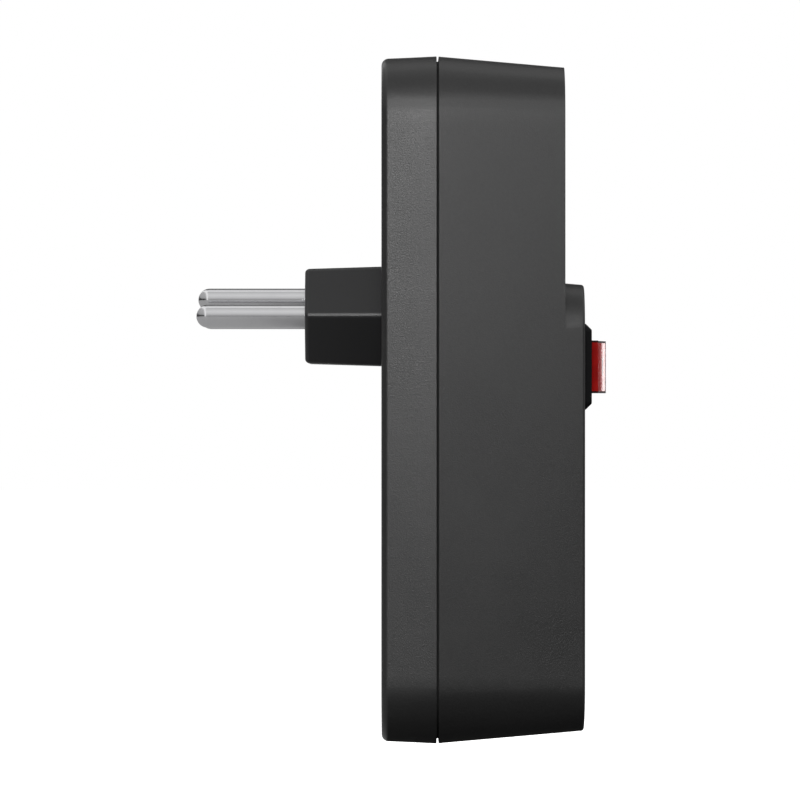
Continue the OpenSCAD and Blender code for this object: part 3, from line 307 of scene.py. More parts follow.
@dataclass(frozen=True)
class Finish:
    """What a surface is made of. Each kind says how its shader varies."""

    name: str
    colour: Colour
    roughness: float = 0.5

    def shade(self, nodes: Nodes) -> dict[object, object]:
        """The shader's values that this finish sets."""
        raise NotImplementedError

    def varied(self, cloud: Value, spread: float) -> Value:
        """The roughness, spread evenly about its mean by a noise."""
        return (self.roughness - spread / 2) + cloud * spread

    def material(self) -> bpy.types.Material:
        """Makes the material, or gives back the one that is there.

        Returns:
            The material of this finish.
        """
        made = bpy.data.materials.get(self.name)
        if made is None:
            made = bpy.data.materials.new(self.name)
            nodes = Nodes(made)
            nodes.surface(self.shade(nodes))
        return made


@dataclass(frozen=True)
class Moulded(Finish):
    """Plastic from a mould, with a fine grain and faint flow marks.

    A groove is a band across Y, given by its middle and half its width in metres, with duller
    roughness and painted shade in its colour.
    """

    grain: float = 0.00022
    coarser: float = 2.6
    flow: float = 0.017
    depth: float = 0.00001
    mottle: float = 0.1
    sheen: float = 0.5
    groove: Pair = (0.0, 0.0)
    # How much of the shell's colour is left in the painted shade inside the groove
    groove_shade_tone: float = 0.4
    groove_roughness: float = 0.75

    def shade(self, nodes: Nodes) -> dict[object, object]:
        """Grain as bump, with slow changes of colour and roughness, and painted shade in the
        groove.

        Args:
            nodes: the material's nodes.

        Returns:
            The shader's values, by socket.
        """
        fine = nodes.noise(self.grain, 2.0)
        coarse = nodes.noise(self.grain * self.coarser, 1.0)
        flow = nodes.noise(self.flow, 3.0)
        speck = nodes.ramp(fine.mixed(coarse, 0.6), [(0.3, 0.0), (0.72, 1.0)])
        colour = nodes.blend(flow.mixed(speck, 0.5).clamped(),
                             scaled(self.colour, 1.0 - self.mottle),
                             scaled(self.colour, 1.0 + self.mottle))
        roughness = self.varied(flow, 0.12)
        middle, half = self.groove
        if half > 0.0:
            inside = abs(nodes.across(Along.Y) - middle) < half
            # Painted shade: the groove's colour is darkened to stand for the shade inside it
            colour = nodes.blend(inside, colour, scaled(self.colour, self.groove_shade_tone))
            roughness = roughness * (1.0 - inside) + inside * self.groove_roughness
        return {
            "Base Color": colour,
            "Roughness": roughness,
            "Specular IOR Level": self.sheen,
            "Normal": nodes.bump(fine.mixed(coarse, 0.85), self.depth),
        }


@dataclass(frozen=True)
class Drawn(Finish):
    """Metal with fine lines along one direction and faint smudges."""

    along: Along = Along.Y
    line: float = 0.00006
    squeeze: float = 0.03
    smudge: float = 0.0035
    depth: float = 0.000002
    spread: float = 0.12
    tarnish: Colour = (0.5, 0.5, 0.5)
    tarnished: float = 0.15

    def shade(self, nodes: Nodes) -> dict[object, object]:
        """Stretched noise for the lines, and soft noise for the smudges.

        Args:
            nodes: the material's nodes.

        Returns:
            The shader's values, by socket.
        """
        scale = tuple(self.squeeze if part else 1.0 for part in self.along.value)
        lines = nodes.noise(self.line, 2.0, nodes.stretched(scale))
        smudge = nodes.noise(self.smudge, 3.0)
        stain = nodes.ramp(smudge, [(0.45, 0.0), (0.75, self.tarnished)])
        return {
            "Base Color": nodes.blend(stain, scaled(self.colour), scaled(self.tarnish)),
            "Metallic": 1.0,
            "Roughness": self.varied(smudge, self.spread),
            "Normal": nodes.bump(lines, self.depth, 0.6),
        }


@dataclass(frozen=True)
class Lens(Finish):
    """Clear coloured plastic, polished, deeper in cloudy patches, with painted shade at its ends.
    """

    deep: Colour = (0.36, 0.007, 0.006)
    bowl: float = 12.0
    centre: Point = (0.0, 0.0, -0.0088)
    half_high: float = 0.0046
    half_long: float = 0.0065
    # How much of the deep colour is left in the painted shade at the lens's ends
    end_shade_tone: float = 0.04
    edge_roughness: float = 0.6

    def shade(self, nodes: Nodes) -> dict[object, object]:
        """A glossy, slightly dished skin over cloudy colour, with painted shade at the rocker's
        ends.

        Args:
            nodes: the material's nodes.

        Returns:
            The shader's values, by socket.
        """
        cloud = nodes.noise(0.004, 2.0)
        ripple = nodes.noise(0.0016, 1.0)
        out = nodes.across(Along.X)
        dished = nodes.bump(out * out * self.bowl, 1.0)
        body = nodes.blend(nodes.ramp(cloud, [(0.35, 0.0), (0.7, 1.0)]),
                           scaled(self.colour), scaled(self.deep))
        # Painted shade: the lens's top and bottom ends and its far end are darkened to stand for
        # shade and dark edge lines
        end = abs(nodes.across(Along.Z, self.centre)) * (1.0 / self.half_high)
        far = out * (1.0 / self.half_long)
        painted_end_shade = (nodes.ramp(end, [(0.915, 0.0), (0.93, 1.0)])
                + nodes.ramp(far, [(0.88, 0.0), (0.9, 0.7)])).clamped()
        return {
            "Base Color": nodes.blend(painted_end_shade, body, scaled(self.deep, self.end_shade_tone)),
            "Roughness": self.varied(cloud, 0.06) + painted_end_shade * self.edge_roughness,
            "IOR": 1.5,
            "Specular IOR Level": 0.2,
            "Coat Weight": 0.15,
            "Coat Roughness": 0.04,
            "Normal": nodes.bump(ripple, 0.000004, 1.0, dished),
        }


@dataclass(frozen=True)
class Speckled(Finish):
    """Pressed or baked material with grains of a second tone."""

    grain: float = 0.0004
    speck: Colour = (0.2, 0.2, 0.2)
    depth: float = 0.00001

    def shade(self, nodes: Nodes) -> dict[object, object]:
        """Small cells for the grains.

        Args:
            nodes: the material's nodes.

        Returns:
            The shader's values, by socket.
        """
        cells = nodes.add("ShaderNodeTexVoronoi", {},
                          {"Vector": nodes.place(), "Scale": 1.0 / self.grain})
        fine = nodes.noise(self.grain, 2.0)
        mask = nodes.ramp(cells * fine, [(0.1, 0.55), (0.3, 0.0)])
        return {
            "Base Color": nodes.blend(mask, scaled(self.colour), scaled(self.speck)),
            "Roughness": self.varied(fine, 0.16),
            "Normal": nodes.bump(cells, self.depth),
        }


@dataclass(frozen=True)
class Banded(Finish):
    """A glossy coat with rings of other colours, or one stripe down a side.

    Each band has its middle and its colour, and all are equally wide.
    """

    centre: Point = (0.0, 0.0, 0.0)
    half: float = 0.0
    bands: tuple[tuple[float, Colour], ...] = ()
    along: Along = Along.X
    cloud: float = 0.0012

    def shade(self, nodes: Nodes) -> dict[object, object]:
        """Each band is where the distance from its own middle is small.

        Args:
            nodes: the material's nodes.

        Returns:
            The shader's values, by socket.
        """
        where = nodes.across(self.along, self.centre)
        colour: object = scaled(self.colour)
        for middle, tone in self.bands:
            colour = nodes.blend(abs(where - middle) < self.half, colour, scaled(tone))
        cloud = nodes.noise(self.cloud, 2.0)
        colour = nodes.blend(cloud * 0.25, colour, scaled(self.colour, 0.6))
        return {
            "Base Color": colour,
            "Roughness": self.varied(cloud, 0.1),
            "Normal": nodes.bump(cloud, 0.00001),
        }


@dataclass(frozen=True)
class Wrapped(Finish):
    """Tape or insulation with fine lines across one direction."""

    along: Along = Along.Y
    pitch: float = 0.0006
    wander: float = 0.4
    depth: float = 0.00002
    edge: float = 0.75

    def shade(self, nodes: Nodes) -> dict[object, object]:
        """Regular lines, broken a little by noise.

        Args:
            nodes: the material's nodes.

        Returns:
            The shader's values, by socket.
        """
        where = nodes.across(self.along)
        wander = nodes.noise(0.002, 2.0)
        lines = nodes.maths("SINE", (where + wander * (self.pitch * self.wander))
                            * (math.tau / self.pitch))
        mask = nodes.ramp(lines * 0.5 + 0.5, [(0.0, 1.0), (0.35, 0.0)])
        return {
            "Base Color": nodes.blend(mask, scaled(self.colour), scaled(self.colour, self.edge)),
            "Roughness": self.varied(wander, 0.1),
            "Normal": nodes.bump(lines, self.depth, 0.5),
        }


@dataclass(frozen=True)
class Laminate(Finish):
    """Circuit board with solder resist over paler tracks."""

    track: Colour = (0.1, 0.36, 0.15)
    centre: Point = (0.0, 0.0, -0.057)

    def shade(self, nodes: Nodes) -> dict[object, object]:
        """Tracks as the joints of a brick pattern, over a faint weave.

        Args:
            nodes: the material's nodes.

        Returns:
            The shader's values, by socket.
        """
        bricks = nodes.add("ShaderNodeTexBrick", {"offset": 0.37},
                           {"Vector": nodes.stretched((1.0, 0.0, 1.0), self.centre),
                            "Scale": 260.0, "Mortar Size": 0.09, "Brick Width": 1.3,
                            "Row Height": 0.6, "Mortar Smooth": 0.2}, 1)
        weave = nodes.noise(0.0005, 2.0)
        return {
            "Base Color": nodes.blend(bricks, scaled(self.colour), scaled(self.track)),
            "Roughness": self.varied(weave, 0.12),
            "Normal": nodes.bump(bricks.mixed(weave, 0.8), 0.00003),
        }


@dataclass(frozen=True)
class Glass(Finish):
    """Thin clear glass with faint waves."""

    def shade(self, nodes: Nodes) -> dict[object, object]:
        """A smooth clear shader with a slow bump.

        Args:
            nodes: the material's nodes.

        Returns:
            The shader's values, by socket.
        """
        wave = nodes.noise(0.003, 1.0)
        return {
            "Base Color": nodes.blend(wave * 0.2, scaled(self.colour), scaled(self.colour, 0.9)),
            "Roughness": self.roughness + wave * 0.02,
            "IOR": 1.47,
            "Transmission Weight": 0.95,
            "Normal": nodes.bump(wave, 0.000005),
        }


class Finishes:
    """Every finish on the object."""

    SHELL = Moulded("grained black shell", (0.031, 0.031, 0.031), 0.31, depth=0.000026,
                    mottle=0.24, sheen=0.42, groove=(-0.023, 0.00021))
    WELL = Moulded("smooth black socket", (0.034, 0.034, 0.035), 0.36, grain=0.0003, depth=0.000005,
                   sheen=0.42)
    PLUG = Moulded("satin black plug", (0.02, 0.02, 0.021), 0.33, grain=0.0003, depth=0.000006)
    RIM = Moulded("satin black rim", (0.007, 0.007, 0.0075), 0.4, grain=0.0005,
                  depth=0.000003, sheen=0.07)
    LENS = Lens("clear red lens", (0.58, 0.012, 0.01), 0.14)
    MARK = Moulded("white print", (0.75, 0.75, 0.73), 0.5, mottle=0.04)
    NICKEL = Drawn("nickel plate", (0.8, 0.8, 0.815), 0.18, spread=0.08,
                   tarnish=(0.66, 0.66, 0.69))
    BRASS = Drawn("rolled brass", (0.8, 0.58, 0.26), 0.28, along=Along.Z,
                  tarnish=(0.45, 0.28, 0.12), tarnished=0.5)
    GOLD = Drawn("gilt contact", (0.88, 0.68, 0.32), 0.18)
    ZINC = Drawn("zinc plate", (0.62, 0.63, 0.65), 0.32, along=Along.Z, spread=0.2,
                 tarnish=(0.5, 0.47, 0.36), tarnished=0.4)
    SPRING = Drawn("spring steel", (0.5, 0.5, 0.51), 0.24, along=Along.Z)
    PORT = Drawn("port shell plate", (0.66, 0.66, 0.66), 0.26, spread=0.16)
    SOLDER = Drawn("solder", (0.75, 0.75, 0.76), 0.22, depth=0.000004)
    PALE = Moulded("natural white plastic", (0.62, 0.6, 0.54), 0.5, grain=0.0004, mottle=0.05)
    TONGUE = Moulded("black port tongue", (0.018, 0.018, 0.02), 0.4, grain=0.0003)
    BOARD = Laminate("green board", (0.018, 0.14, 0.05), 0.34)
    FERRITE = Speckled("ferrite", (0.035, 0.035, 0.038), 0.55, speck=(0.11, 0.11, 0.12))
    EPOXY = Speckled("chip resin", (0.02, 0.02, 0.022), 0.48, grain=0.0002,
                     speck=(0.06, 0.06, 0.065), depth=0.000005)
    TAPE = Wrapped("winding tape", (0.72, 0.48, 0.06), 0.3, pitch=0.0012)
    SLEEVE_IN = Banded("large can sleeve", (0.02, 0.035, 0.16), 0.3, (0.0135, 0.0, 0.0), 0.0009,
                       ((0.0, (0.5, 0.53, 0.58)),))
    SLEEVE_OUT = Banded("small can sleeve", (0.02, 0.035, 0.16), 0.3, (0.0133, 0.0, 0.0), 0.0008,
                        ((0.0, (0.5, 0.53, 0.58)),))
    DISC = Banded("dipped disc", (0.02, 0.09, 0.32), 0.36)
    FUSE = Banded("fusible resistor", (0.06, 0.2, 0.12), 0.45, (-0.00825, 0.0, 0.0), 0.0003,
                  ((-0.0018, (0.4, 0.2, 0.03)), (-0.0008, (0.01, 0.01, 0.01)),
                   (0.0002, (0.01, 0.01, 0.01)), (0.0016, (0.5, 0.35, 0.08))))
    RESISTOR = Banded("lamp resistor", (0.55, 0.4, 0.22), 0.45, (0.0, 0.0, -0.0088), 0.00018,
                      ((-0.0009, (0.3, 0.12, 0.03)), (-0.0003, (0.3, 0.02, 0.02)),
                       (0.0003, (0.5, 0.2, 0.02)), (0.0011, (0.5, 0.35, 0.08))), Along.Z)
    BROWN = Wrapped("brown insulation", (0.11, 0.04, 0.016), 0.34, along=Along.X, pitch=0.0004)
    BLUE = Wrapped("blue insulation", (0.02, 0.07, 0.3), 0.34, along=Along.X, pitch=0.0004)
    GLASS = Glass("lamp glass", (0.95, 0.93, 0.9), 0.04)


@dataclass
class Workshop:
    """Makes meshes and turns them into finished pieces."""

    nodes: dict[str, bpy.types.Object]
    slots: dict[str, str]
    made: list[str] = field(default_factory=list)
    near: float = 0.001 * MM
    merge: float = 0.002 * MM
    flat: float = math.radians(1.0)
    crisp: float = math.radians(28.0)
    wire_sides: int = 8
    turn_steps: int = 20

    def piece(self, mesh: BMesh, name: str, finish: Finish, node: str,
              replaces: bool = True, sharp: float = 35.0) -> bpy.types.Object:
        """Makes a finished piece.

        Args:
            mesh: its shape, in metres and in place. It is freed.
            name: its name.
            finish: its finish.
            node: the CAD node that it stands for or belongs to.
            replaces: whether that node is hidden.
            sharp: edges that turn by more than this many degrees stay crisp.

        Returns:
            The object.
        """
        data = as_data(mesh, name)
        data.shade_smooth()
        self.flattened(data, sharp)
        data.materials.append(finish.material())
        piece = placed(name, data)
        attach(piece, self.nodes[node]["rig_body"])
        if replaces:
            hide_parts(node)
        self.made.append(name)
        LOG.info("piece %s: %d faces", name, len(data.polygons))
        return piece

    @staticmethod
    def flattened(data: bpy.types.Mesh, sharp: float) -> None:
        """Gives a mesh normals in which large faces stay flat and small ones blend them.

        Args:
            data: the mesh.
            sharp: faces that differ by more than this many degrees don't blend.
        """
        least = math.cos(math.radians(sharp))
        normals = [face.normal.copy() for face in data.polygons]
        areas = [face.area for face in data.polygons]
        around: list[list[int]] = [[] for _ in data.vertices]
        for face in data.polygons:
            for vertex in face.vertices:
                around[vertex].append(face.index)
        blended = []
        for face in data.polygons:
            own = normals[face.index]
            for vertex in face.vertices:
                total = Vector((0.0, 0.0, 0.0))
                for other in around[vertex]:
                    if normals[other].dot(own) > least:
                        total += normals[other] * areas[other]
                blended.append(total.normalized() if total.length else own)
        data.normals_split_custom_set(blended)

    def box(self, node: str) -> tuple[Vector, Vector]:
        """Opposite corners of a node's mesh, in millimetres."""
        spots = [v.co / MM for v in self.nodes[node].data.vertices]
        return (Vector(map(min, zip(*spots))), Vector(map(max, zip(*spots))))

    def copied(self, node: str) -> BMesh:
        """A merged copy of a node's mesh, with its flat faces whole again.

        Args:
            node: the node.

        Returns:
            The copy.
        """
        mesh = bmesh.new()
        mesh.from_mesh(self.nodes[node].data)
        bmesh.ops.remove_doubles(mesh, verts=mesh.verts, dist=self.merge)
        bmesh.ops.dissolve_limit(mesh, angle_limit=self.flat, verts=mesh.verts,
                                 edges=mesh.edges, use_dissolve_boundaries=False, delimit=set())
        return mesh

    @staticmethod
    def bevelled(mesh: BMesh, edges: list[bmesh.types.BMEdge], width: float,
                 segments: int = 2) -> None:
        """Rounds some edges of a mesh.

        Args:
            mesh: the mesh.
            edges: the edges that are rounded.
            width: how far back from each the rounding starts, in millimetres.
            segments: faces across the rounding.
        """
        bmesh.ops.bevel(mesh, geom=edges, offset=width * MM, offset_type="OFFSET",
                        segments=segments, profile=0.5, affect="EDGES", clamp_overlap=True,
                        material=-1)

    @staticmethod
    def stood(mesh: BMesh, start: Point, along: Point) -> BMesh:
        """Turns what stands on the origin along an axis, and moves it to its start.

        Args:
            mesh: what stands on the origin.
            start: its start, in millimetres.
            along: the axis.

        Returns:
            The same mesh.
        """
        turn = Vector((0, 0, 1)).rotation_difference(Vector(along)).to_matrix().to_4x4()
        bmesh.ops.transform(mesh, matrix=Matrix.Translation(metres(start)) @ turn,
                            verts=mesh.verts)
        return mesh

    def softened(self, node: str, kind: str, finish: Finish, width: float,
                 segments: int = 2, cuts: Sequence[tuple[Along, float]] = ()) -> None:
        """A node's own shape with its edges eased, as a mould or a press leaves them.

        Args:
            node: the node.
            kind: the last part of the piece's name.
            finish: its finish.
            width: how far back from an edge the rounding starts, in millimetres.
            segments: faces across the rounding.
            cuts: planes that split its flat faces, as a direction and a place in millimetres.
                Shading blends from a round corner into the narrow strip beside it.
        """
        mesh = self.copied(node)
        for along, place in cuts:
            normal = Vector(along.value)
            geometry = list(mesh.verts) + list(mesh.edges) + list(mesh.faces)
            bmesh.ops.bisect_plane(mesh, geom=geometry, dist=self.near,
                                   plane_co=normal * place * MM, plane_no=normal)
        edges = [e for e in mesh.edges
                 if len(e.link_faces) == 2 and e.calc_face_angle(0.0) > self.crisp]
        self.bevelled(mesh, edges, width, segments)
        self.piece(mesh, f"{node}_{kind}", finish, node)

    def turned(self, profile: Stops, start: Point, along: Point, steps: int) -> BMesh:
        """A solid of revolution.

        Args:
            profile: radius and distance along the axis for each step, in millimetres.
            start: where the axis starts, in millimetres.
            along: the axis.
            steps: sides round the axis.

        Returns:
            The mesh, in metres.
        """
        mesh = bmesh.new()
        verts = [mesh.verts.new((r * MM, 0.0, d * MM)) for r, d in profile]
        edges = [mesh.edges.new(pair) for pair in zip(verts, verts[1:])]
        bmesh.ops.spin(mesh, geom=verts + edges, cent=(0, 0, 0), axis=(0, 0, 1), dvec=(0, 0, 0),
                       angle=math.tau, steps=steps, use_merge=True)
        bmesh.ops.remove_doubles(mesh, verts=mesh.verts, dist=self.near)
        bmesh.ops.recalc_face_normals(mesh, faces=mesh.faces)
        return self.stood(mesh, start, along)

    def coiled(self, foot: Point, along: Point, length: float, radius: float, wire: float,
               turns: int) -> BMesh:
        """A wound spring with a closed turn at each end.

        Args:
            foot: the middle of its first end, in millimetres.
            along: its axis.
            length: its length in millimetres.
            radius: its outer radius in millimetres.
            wire: the wire's radius in millimetres.
            turns: how many turns it has.

        Returns:
            The mesh, in metres.
        """
        steps = self.turn_steps * turns
        mesh = bmesh.new()
        ring = bmesh.ops.create_circle(mesh, segments=self.wire_sides, radius=wire * MM)["verts"]
        bmesh.ops.rotate(mesh, verts=ring, cent=(0, 0, 0),
                         matrix=Matrix.Rotation(math.pi / 2, 3, "X"))
        bmesh.ops.translate(mesh, verts=ring, vec=metres((radius - wire, 0.0, wire)))
        rise = (length - 2 * wire) / steps * MM
        bmesh.ops.spin(mesh, geom=list(mesh.verts) + list(mesh.edges), cent=(0, 0, 0),
                       axis=(0, 0, 1), dvec=(0, 0, rise), angle=math.tau * turns, steps=steps,
                       use_merge=False)
        ends = [e for e in mesh.edges if len(e.link_faces) == 1]
        bmesh.ops.holes_fill(mesh, edges=ends, sides=0)
        bmesh.ops.recalc_face_normals(mesh, faces=mesh.faces)
        return self.stood(mesh, foot, along)

    @staticmethod
    def slab(mesh: BMesh, low: Point, high: Point) -> list[bmesh.types.BMVert]:
        """Adds a box between two corners in millimetres.

        Args:
            mesh: the mesh that it is added to.
            low: its lowest corner.
            high: its highest corner.

        Returns:
            Its vertices.
        """
        size = [b - a for a, b in zip(low, high)]
        middle = [(a + b) / 2 for a, b in zip(low, high)]
        matrix = Matrix.Translation(metres(middle)) @ Matrix.Diagonal((*metres(size), 1.0))
        return bmesh.ops.create_cube(mesh, size=1.0, matrix=matrix)["verts"]


@dataclass
class Housing:
    """The two shells and the screws that hold them together."""

    edge: float = 0.22
    cover_edge: float = 0.15
    screw_edge: float = 0.12
    corner: float = 10.5
    strip: float = 1.6

    def build(self, shop: Workshop) -> None:
        """Makes the shells and the screws.

        Args:
            shop: where the pieces are made.
        """
        low, high = shop.box("rear_cover")
        inside = self.corner + self.strip
        cuts = [(Along.Z, high.z - inside), (Along.Z, low.z + inside),
                (Along.X, high.x - inside), (Along.X, low.x + inside)]
        shop.softened("front_housing", "moulding", Finishes.SHELL, self.edge, segments=3,
                      cuts=cuts)
        shop.softened("rear_cover", "moulding", Finishes.SHELL, self.cover_edge, cuts=cuts)
        shop.softened("housing_screws", "turning", Finishes.ZINC, self.screw_edge)


@dataclass
class Plug:
    """The six-sided plug block and its three pins."""

    point: float = 17.8
    half_high: float = 8.2
    flat: float = 12.0
    foot: float = 0.4
    length: float = 13.3
    wall: float = 2.0
    edge: float = 0.7
    neck_in: float = 1.0
    flange: Point = (20.0, 2.0, 12.0)
    flange_edge: float = 0.2
    pin_radius: float = 2.0
    pin_length: float = 19.0
    root: Pair = (0.06, 0.08)
    tip_steps: int = 12
    pin_sides: int = 56

    # Each pin's place across and up
    PINS = (("line_pin", -9.5, 0.0), ("neutral_pin", 9.5, 0.0), ("earth_pin", 0.0, 3.0))
    # Radius and place along the pin, from its rivet to the plug's face
    SHANK = ((0.0, -19.4), (1.5, -19.4), (1.9, -19.1), (1.9, -18.9), (1.2, -18.9), (1.2, -18.1),
             (1.8, -18.1), (1.8, -9.0), (2.6, -8.9), (2.6, -3.1), (1.8, -3.0), (1.8, 0.0))

    def block(self, shop: Workshop) -> None:
        """A six-sided block that widens to its foot, with its flange behind the cover.

        Args:
            shop: where the pieces are made.
        """
        mesh = bmesh.new()
        corners = [(self.point, 0.0), (self.flat, self.half_high), (-self.flat, self.half_high),
                   (-self.point, 0.0), (-self.flat, -self.half_high), (self.flat, -self.half_high)]
        face = mesh.faces.new([mesh.verts.new(metres((x, 0.0, z))) for x, z in corners])
        grown = bmesh.ops.extrude_face_region(mesh, geom=[face], use_keep_orig=True)
        back = [v for v in grown["geom"] if isinstance(v, bmesh.types.BMVert)]
        bmesh.ops.scale(mesh, verts=back, vec=(1 + self.foot / self.point, 1.0,
                                               1 + self.foot / self.half_high))
        bmesh.ops.translate(mesh, verts=back, vec=metres((0.0, -self.length, 0.0)))
        bmesh.ops.recalc_face_normals(mesh, faces=mesh.faces)
        shop.bevelled(mesh, [e for e in mesh.edges if max(v.co.y for v in e.verts) > -MM],
                      self.edge, segments=4)
        root = -self.length
        neck = shop.slab(mesh, (-self.flat, root - self.wall, -self.half_high + self.neck_in),
                         (self.flat, root, self.half_high - self.neck_in))
        x, thick, z = self.flange
        plate = shop.slab(mesh, (-x, root - self.wall - thick, -z), (x, root - self.wall, z))
        edges = list(dict.fromkeys(e for v in neck + plate for e in v.link_edges))
        shop.bevelled(mesh, edges, self.flange_edge)
        shop.piece(mesh, "plug_block_moulding", Finishes.PLUG, "plug_block", sharp=50.0)

    def pin_profile(self) -> list[Pair]:
        """Radius and height of a pin, from its rivet to its round tip.

        Returns:
            The profile, in millimetres.
        """
        r, top = self.pin_radius, self.pin_length - self.pin_radius
        turns = [math.pi / 2 * i / self.tip_steps for i in range(self.tip_steps)]
        tip = [(r * math.cos(turn), top + r * math.sin(turn)) for turn in turns]
        inset, up = self.root
        return [*self.SHANK, (r - inset, 0.0), (r, up), *tip, (0.0, self.pin_length)]

    def build(self, shop: Workshop) -> None:
        """Makes the block and the pins.

        Args:
            shop: where the pieces are made.
        """
        self.block(shop)
        for name, x, z in self.PINS:
            mesh = shop.turned(self.pin_profile(), (x, 0.0, z), (0, 1, 0), self.pin_sides)
            shop.piece(mesh, f"{name}_turning", Finishes.NICKEL, name)


@dataclass
class Socket:
    """One socket with its shutter, spring, contacts and their carrier."""

    which: str
    face: float
    middle: float
    ledge: float = -8.9
    spring_length: float = 9.0
    spring_radius: float = 1.25
    spring_wire: float = 0.17
    spring_turns: int = 8
    travel: float = 4.5
    shutter_in: float = 14.3
    moulded_edge: float = 0.15
    carrier_edge: float = 0.12
    clip_edge: float = 0.08

    def build(self, shop: Workshop) -> None:
        """Makes the socket's pieces, from its mouth inwards.

        Args:
            shop: where the pieces are made.
        """
        shop.softened(f"{self.which}_well", "moulding", Finishes.WELL, self.moulded_edge)
        shop.softened(f"{self.which}_shutter", "moulding", Finishes.PALE, self.moulded_edge)
        shop.softened(f"{self.which}_carrier", "moulding", Finishes.PALE, self.carrier_edge)
        for contact in ("line_clip", "neutral_clip", "earth_clip"):
            shop.softened(f"{self.which}_{contact}", "stamping", Finishes.BRASS, self.clip_edge)
        foot = (0.0, self.face + self.shutter_in, self.middle + self.ledge)
        mesh = shop.coiled(foot, (0, 0, 1), self.spring_length, self.spring_radius,
                           self.spring_wire, self.spring_turns)
        node = f"{self.which}_shutter_spring"
        spring = shop.piece(mesh, f"{node}_coil", Finishes.SPRING, node)
        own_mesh(spring)


@dataclass
class Wiring:
    """The strips, links and wires that join plug, switch, sockets and board."""

    strips: tuple[str, ...] = ("line_busbar", "neutral_busbar", "earth_busbar", "live_strip",
                               "switched_link")
    strip_edge: float = 0.1
    screw_edge: float = 0.08
    wire_edge: float = 0.08

    def build(self, shop: Workshop) -> None:
        """Makes the strips, the screws of the carriers and the wires.

        Args:
            shop: where the pieces are made.
        """
        for name in self.strips:
            shop.softened(name, "stamping", Finishes.BRASS, self.strip_edge)
        shop.softened("carrier_screws", "turning", Finishes.ZINC, self.screw_edge)
        for name, finish in (("usb_line_wire", Finishes.BROWN),
                             ("usb_neutral_wire", Finishes.BLUE), ("lamp_wire", Finishes.BLUE)):
            shop.softened(name, "insulation", finish, self.wire_edge)


